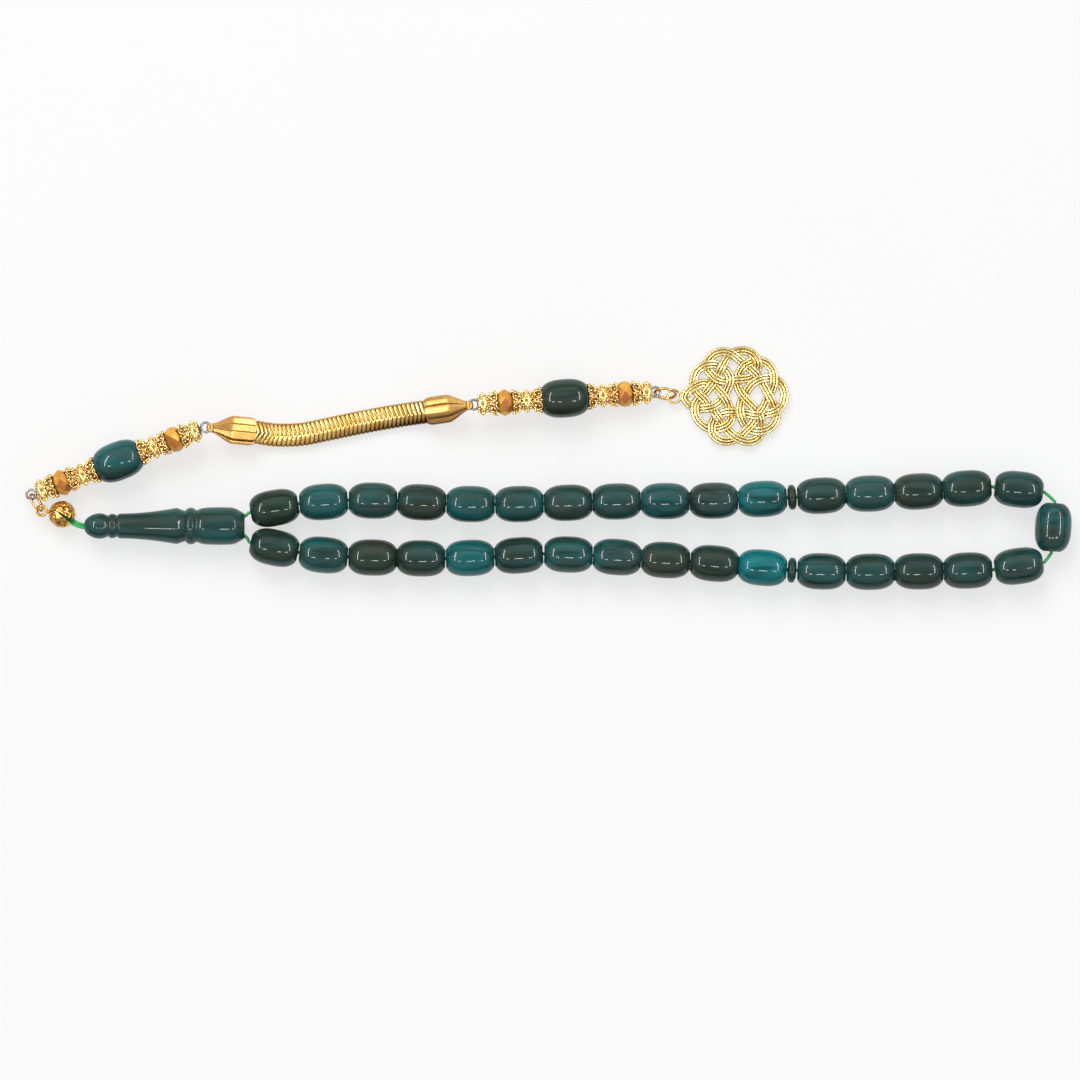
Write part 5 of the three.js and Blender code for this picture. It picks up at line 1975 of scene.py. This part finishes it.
    def heights(self, route: list[Vector]) -> list[float]:
        """Give the strand's rise at each point, over and under in turn."""
        crossings = self.passes(route)
        rises = []
        for index in range(len(route)):
            after = next((k for k, place in enumerate(crossings) if place > index), 0)
            before = (after - 1) % len(crossings)
            start = crossings[before] - (len(route) if crossings[before] > index else 0)
            end = crossings[after] + (len(route) if crossings[after] < index else 0)
            share = (index - start) / (end - start)
            rises.append((1 if before % 2 == 0 else -1) * math.cos(share * math.pi))
        return rises

    def section(self) -> list[tuple[float, float, float]]:
        """Give the strand's ridged section, flat backed: place across, height, painted shade."""
        half = self.strand_width / 2
        points = [(-half, -self.strand_height, 1.0), (half, -self.strand_height, 1.0)]
        pitch = self.strand_width / self.ridges
        for ridge in reversed(range(self.ridges)):
            middle = -half + pitch * (ridge + 0.5)
            for step in range(self.ridge_steps + 1):
                angle = math.pi * step / self.ridge_steps
                arch = self.arch * (1 - (middle / half) ** 2)
                height = self.ridge_rise * math.sin(angle) - self.shoulder + arch
                is_outer = abs(middle + math.cos(angle) * pitch / 2) > half * self.edge_share
                groove = (1 - math.sin(angle)) ** self.flank_bow
                recess_shade = self.edge_shade if is_outer else groove
                across = middle + math.cos(angle) * pitch / 2 * self.ridge_share
                points.append((across, height, recess_shade))
        return points

    def strand(self, route: list[Vector], rises: list[float]) -> bpy.types.Object:
        """Sweep the section along the route and flatten its back.

        Args:
            route: The strand's fine route.
            rises: Its rise at each point, from -1 to 1.

        Returns:
            The strand.
        """
        section = self.section()
        flat = [(-across, height, 0) for across, height, _ in section]
        profile = curve_through("strand_section", flat, True, flat=True)
        heights = [self.strand_height + rise * self.weave for rise in rises]
        course = [(*place, height) for place, height in zip(route, heights)]
        piece = curve_through("strand", course, True)
        piece.data.twist_mode = "Z_UP"
        piece.data.bevel_mode = "OBJECT"
        piece.data.bevel_object = profile
        piece = as_mesh(piece)
        bpy.data.objects.remove(profile)
        count = len(section)
        recesses = []
        for index, vertex in enumerate(piece.data.vertices):
            # Painted shade in the grooves and where the strand dips under another
            dip = max(0.0, -rises[(index // count) % len(rises)])
            groove = section[index % count][2] * self.section_shade
            recesses.append(min(1.0, groove + dip * dip * self.dip_shade))
            vertex.co.z = max(vertex.co.z, 0.0)
        marked(piece, "recess_shade", recesses)
        return smooth(tidy(piece, MERGE), self.edge_angle)

    def build(self) -> None:
        """Sweep the strand and add the loop."""
        route = self.fine_route()
        parts = [self.strand(route, self.heights(route)), self.loop()]
        pivot = self.frame.pivot("knot_pendant")
        pivot.z = 0
        along = bearing(self.bearing_degrees, self.loop_reach)
        whole = settle(joined("plaited_knot_pendant", parts), placed(pivot + along, along))
        finish_piece(whole, Look.CAST, "knot_pendant")

    def loop(self) -> bpy.types.Object:
        """Cast the hanging loop: a flat ring with a round edge."""
        edge = (self.loop_outer - self.loop_inner) / 2
        middle = (self.loop_outer + self.loop_inner) / 2
        ring = [
            (self.loop_half * math.sin(angle), middle + edge * math.cos(angle))
            for angle in [math.tau * step / self.loop_steps for step in range(self.loop_steps)]
        ]
        place = Matrix.Translation((-self.loop_reach, 0, self.loop_height))
        whole = smooth(turned("pendant_loop", ring, self.loop_sides), WIRE_EDGE)
        return settle(whole, place @ turn_about("Y", QUARTER))


# Table, light and camera


@dataclass
class Studio:
    """A white table under soft light, seen from straight above."""

    frame: Frame
    picture: float = 1080.0
    pixels_per_mm: float = 4.36
    tip_pixel: tuple[float, float] = (84.8, 526.0)
    distance: float = 1.6
    plane: float = 4.4 * MM
    key_way: tuple[float, float, float] = (-0.3, 0.85, 0.95)
    key_reach: float = 3.2
    key_size: float = 1.7
    key_watts: float = 52.0
    tent_height: float = 3.0
    tent_radiance: float = 28.0
    sky_level: float = 0.67
    table_glow: float = 0.66
    # The lit strips of the tent: name, middle on the ceiling, and size along X and Y
    strips: tuple[tuple[str, float, float, float, float], ...] = (
        ("tent_left", -2.45, 0.95, 0.3, 3.8),
        ("tent_right", 2.75, 0.95, 0.3, 3.8),
        ("tent_front_left", -1.2, -1.1, 0.62, 0.2),
        ("tent_front", 0.05, -1.1, 0.4, 0.2),
        ("tent_front_right", 1.45, -1.1, 0.75, 0.2),
    )

    def build(self) -> None:
        """Add the table, the lamps, the world and the camera."""
        self.table()
        self.lamps()
        self.world()
        self.camera()

    def table(self) -> None:
        """Add a wide white table top, which shows a little brighter than it is lit."""
        deselect_all()
        bpy.ops.mesh.primitive_plane_add(size=6.0)
        top = bpy.context.object
        top.name = "table_top"
        paint = bpy.data.materials.new("white_table")
        paint.use_nodes = True
        shader = Shader(paint.node_tree)
        grain = shader.clouds(shader.place(), 30.0)
        tone = shader.blend(grain, srgb(252, 252, 252), srgb(250, 250, 251))
        sockets = {"Base Color": tone, "Roughness": 0.9, "Specular IOR Level": 0.1}
        skin = shader.node("ShaderNodeBsdfPrincipled", {}, sockets, "BSDF")
        sockets = {"Color": srgb(253, 253, 253), "Strength": 1.0}
        glow = shader.node("ShaderNodeEmission", {}, sockets, "Emission")
        seen, mirrored = self.rays(shader)
        share = (seen + mirrored).clamped() * self.table_glow
        mixed = shader.node("ShaderNodeMixShader", {}, [share, skin, glow], "Shader")
        shader.end("Material", mixed)
        top.data.materials.append(paint)

    @staticmethod
    def rays(shader: Shader) -> tuple[Value, Value]:
        """Give whether a ray comes from the camera, and whether from a polished surface."""
        seen = shader.node("ShaderNodeLightPath", {}, [], "Is Camera Ray")
        return seen, shader.node("ShaderNodeLightPath", {}, [], "Is Glossy Ray")

    def lamp(
        self, name: str, place: Vector, size: tuple[float, float], watts: float, glossy: bool
    ) -> bpy.types.Object:
        """Add one soft lamp that points at the middle of the table.

        Args:
            name: Its name.
            place: Where it is.
            size: Its width and height.
            watts: Its power.
            glossy: Whether it shows in polished surfaces.

        Returns:
            The lamp.
        """
        deselect_all()
        bpy.ops.object.light_add(type="AREA", location=place)
        lamp = bpy.context.object
        lamp.name = name
        lamp.data.shape = "RECTANGLE"
        lamp.data.size, lamp.data.size_y = size
        lamp.data.energy = watts
        lamp.rotation_euler = (-place).to_track_quat("-Z", "Y").to_euler()
        lamp.visible_glossy = glossy
        return lamp

    def lamps(self) -> None:
        """Add the soft key light, and the tent's strips, which show as thin lines in the beads."""
        key = Vector(self.key_way).normalized() * self.key_reach
        self.lamp("key_light", key, (self.key_size, self.key_size), self.key_watts, False)
        for name, x, y, width, depth in self.strips:
            watts = self.tent_radiance * math.pi * width * depth
            strip = self.lamp(name, Vector((x, y, self.tent_height)), (width, depth), watts, True)
            strip.rotation_euler = (0, 0, 0)
            strip.visible_diffuse = False

    def world(self) -> None:
        """Light everything softly from above, and mirror a bright tent with dark gaps."""
        world = bpy.data.worlds.new("light_tent")
        bpy.context.scene.world = world
        world.use_nodes = True
        shader = Shader(world.node_tree)
        view = shader.node("ShaderNodeTexCoord", {}, [], "Generated")
        up = shader.node("ShaderNodeSeparateXYZ", {}, {"Vector": view}, "Z")
        back = shader.node("ShaderNodeSeparateXYZ", {}, {"Vector": view}, "Y")
        seen, mirrored = self.rays(shader)
        soft = (up.between(0.05, 0.5) * 0.7 + 0.3) * (back * 0.25 + 1.0) * self.sky_level
        tent = up.between(0.3, 0.5) * 0.8 + 0.3 - up.between(0.86, 0.98) * 0.6
        tent = tent * (back * 0.35 + 0.9)
        dark = mirrored * (1 - seen)
        level = seen + (1 - seen) * (soft + dark * (tent - soft))
        sockets = {"Color": (1, 1, 1, 1), "Strength": level}
        shader.end("World", shader.node("ShaderNodeBackground", {}, sockets, "Background"))

    def camera(self) -> None:
        """Look straight down, with the whole picture at the beads' height."""
        tip = self.frame.leader_tip()
        middle = self.picture / 2
        pixel = MM / self.pixels_per_mm
        x = tip.x + (middle - self.tip_pixel[0]) * pixel
        y = tip.y - (middle - self.tip_pixel[1]) * pixel
        deselect_all()
        place = (x, y, self.plane + self.distance)
        bpy.ops.object.camera_add(location=place, rotation=(0, 0, 0))
        camera = bpy.context.object
        camera.data.lens_unit = "FOV"
        camera.data.angle = 2 * math.atan(middle * pixel / self.distance)
        bpy.context.scene.camera = camera
        bpy.context.scene.view_settings.view_transform = "Standard"


def main() -> None:
    """Build the studio, the string and the tassel in order."""
    logging.basicConfig(level=logging.INFO, format="%(name)s: %(message)s")
    frame = Frame()
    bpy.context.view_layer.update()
    steps: list[Callable[[], None]] = [
        Studio(frame).build,
        Cord(frame).build,
        BeadString(frame).build,
        Leader(frame).build,
        Clamshell(frame).build,
        JumpRing(
            frame,
            "jump_ring_knot",
            ring=2.2 * MM,
            wire=0.3 * MM,
            bearing_degrees=124.0,
            lean=72.0,
        ).build,
        PinSection(frame, "first", tint=0.58, length=43.2 * MM).build,
        SnakeChain(frame).build,
        PinSection(frame, "second", tint=0.25, length=41.8 * MM).build,
        JumpRing(
            frame,
            "jump_ring_pendant",
            ring=2.35 * MM,
            wire=0.35 * MM,
            bearing_degrees=-5.0,
            lean=63.0,
        ).build,
        KnotPendant(frame).build,
    ]
    for step in steps:
        step()
    deselect_all()


if __name__ == "__main__":
    main()
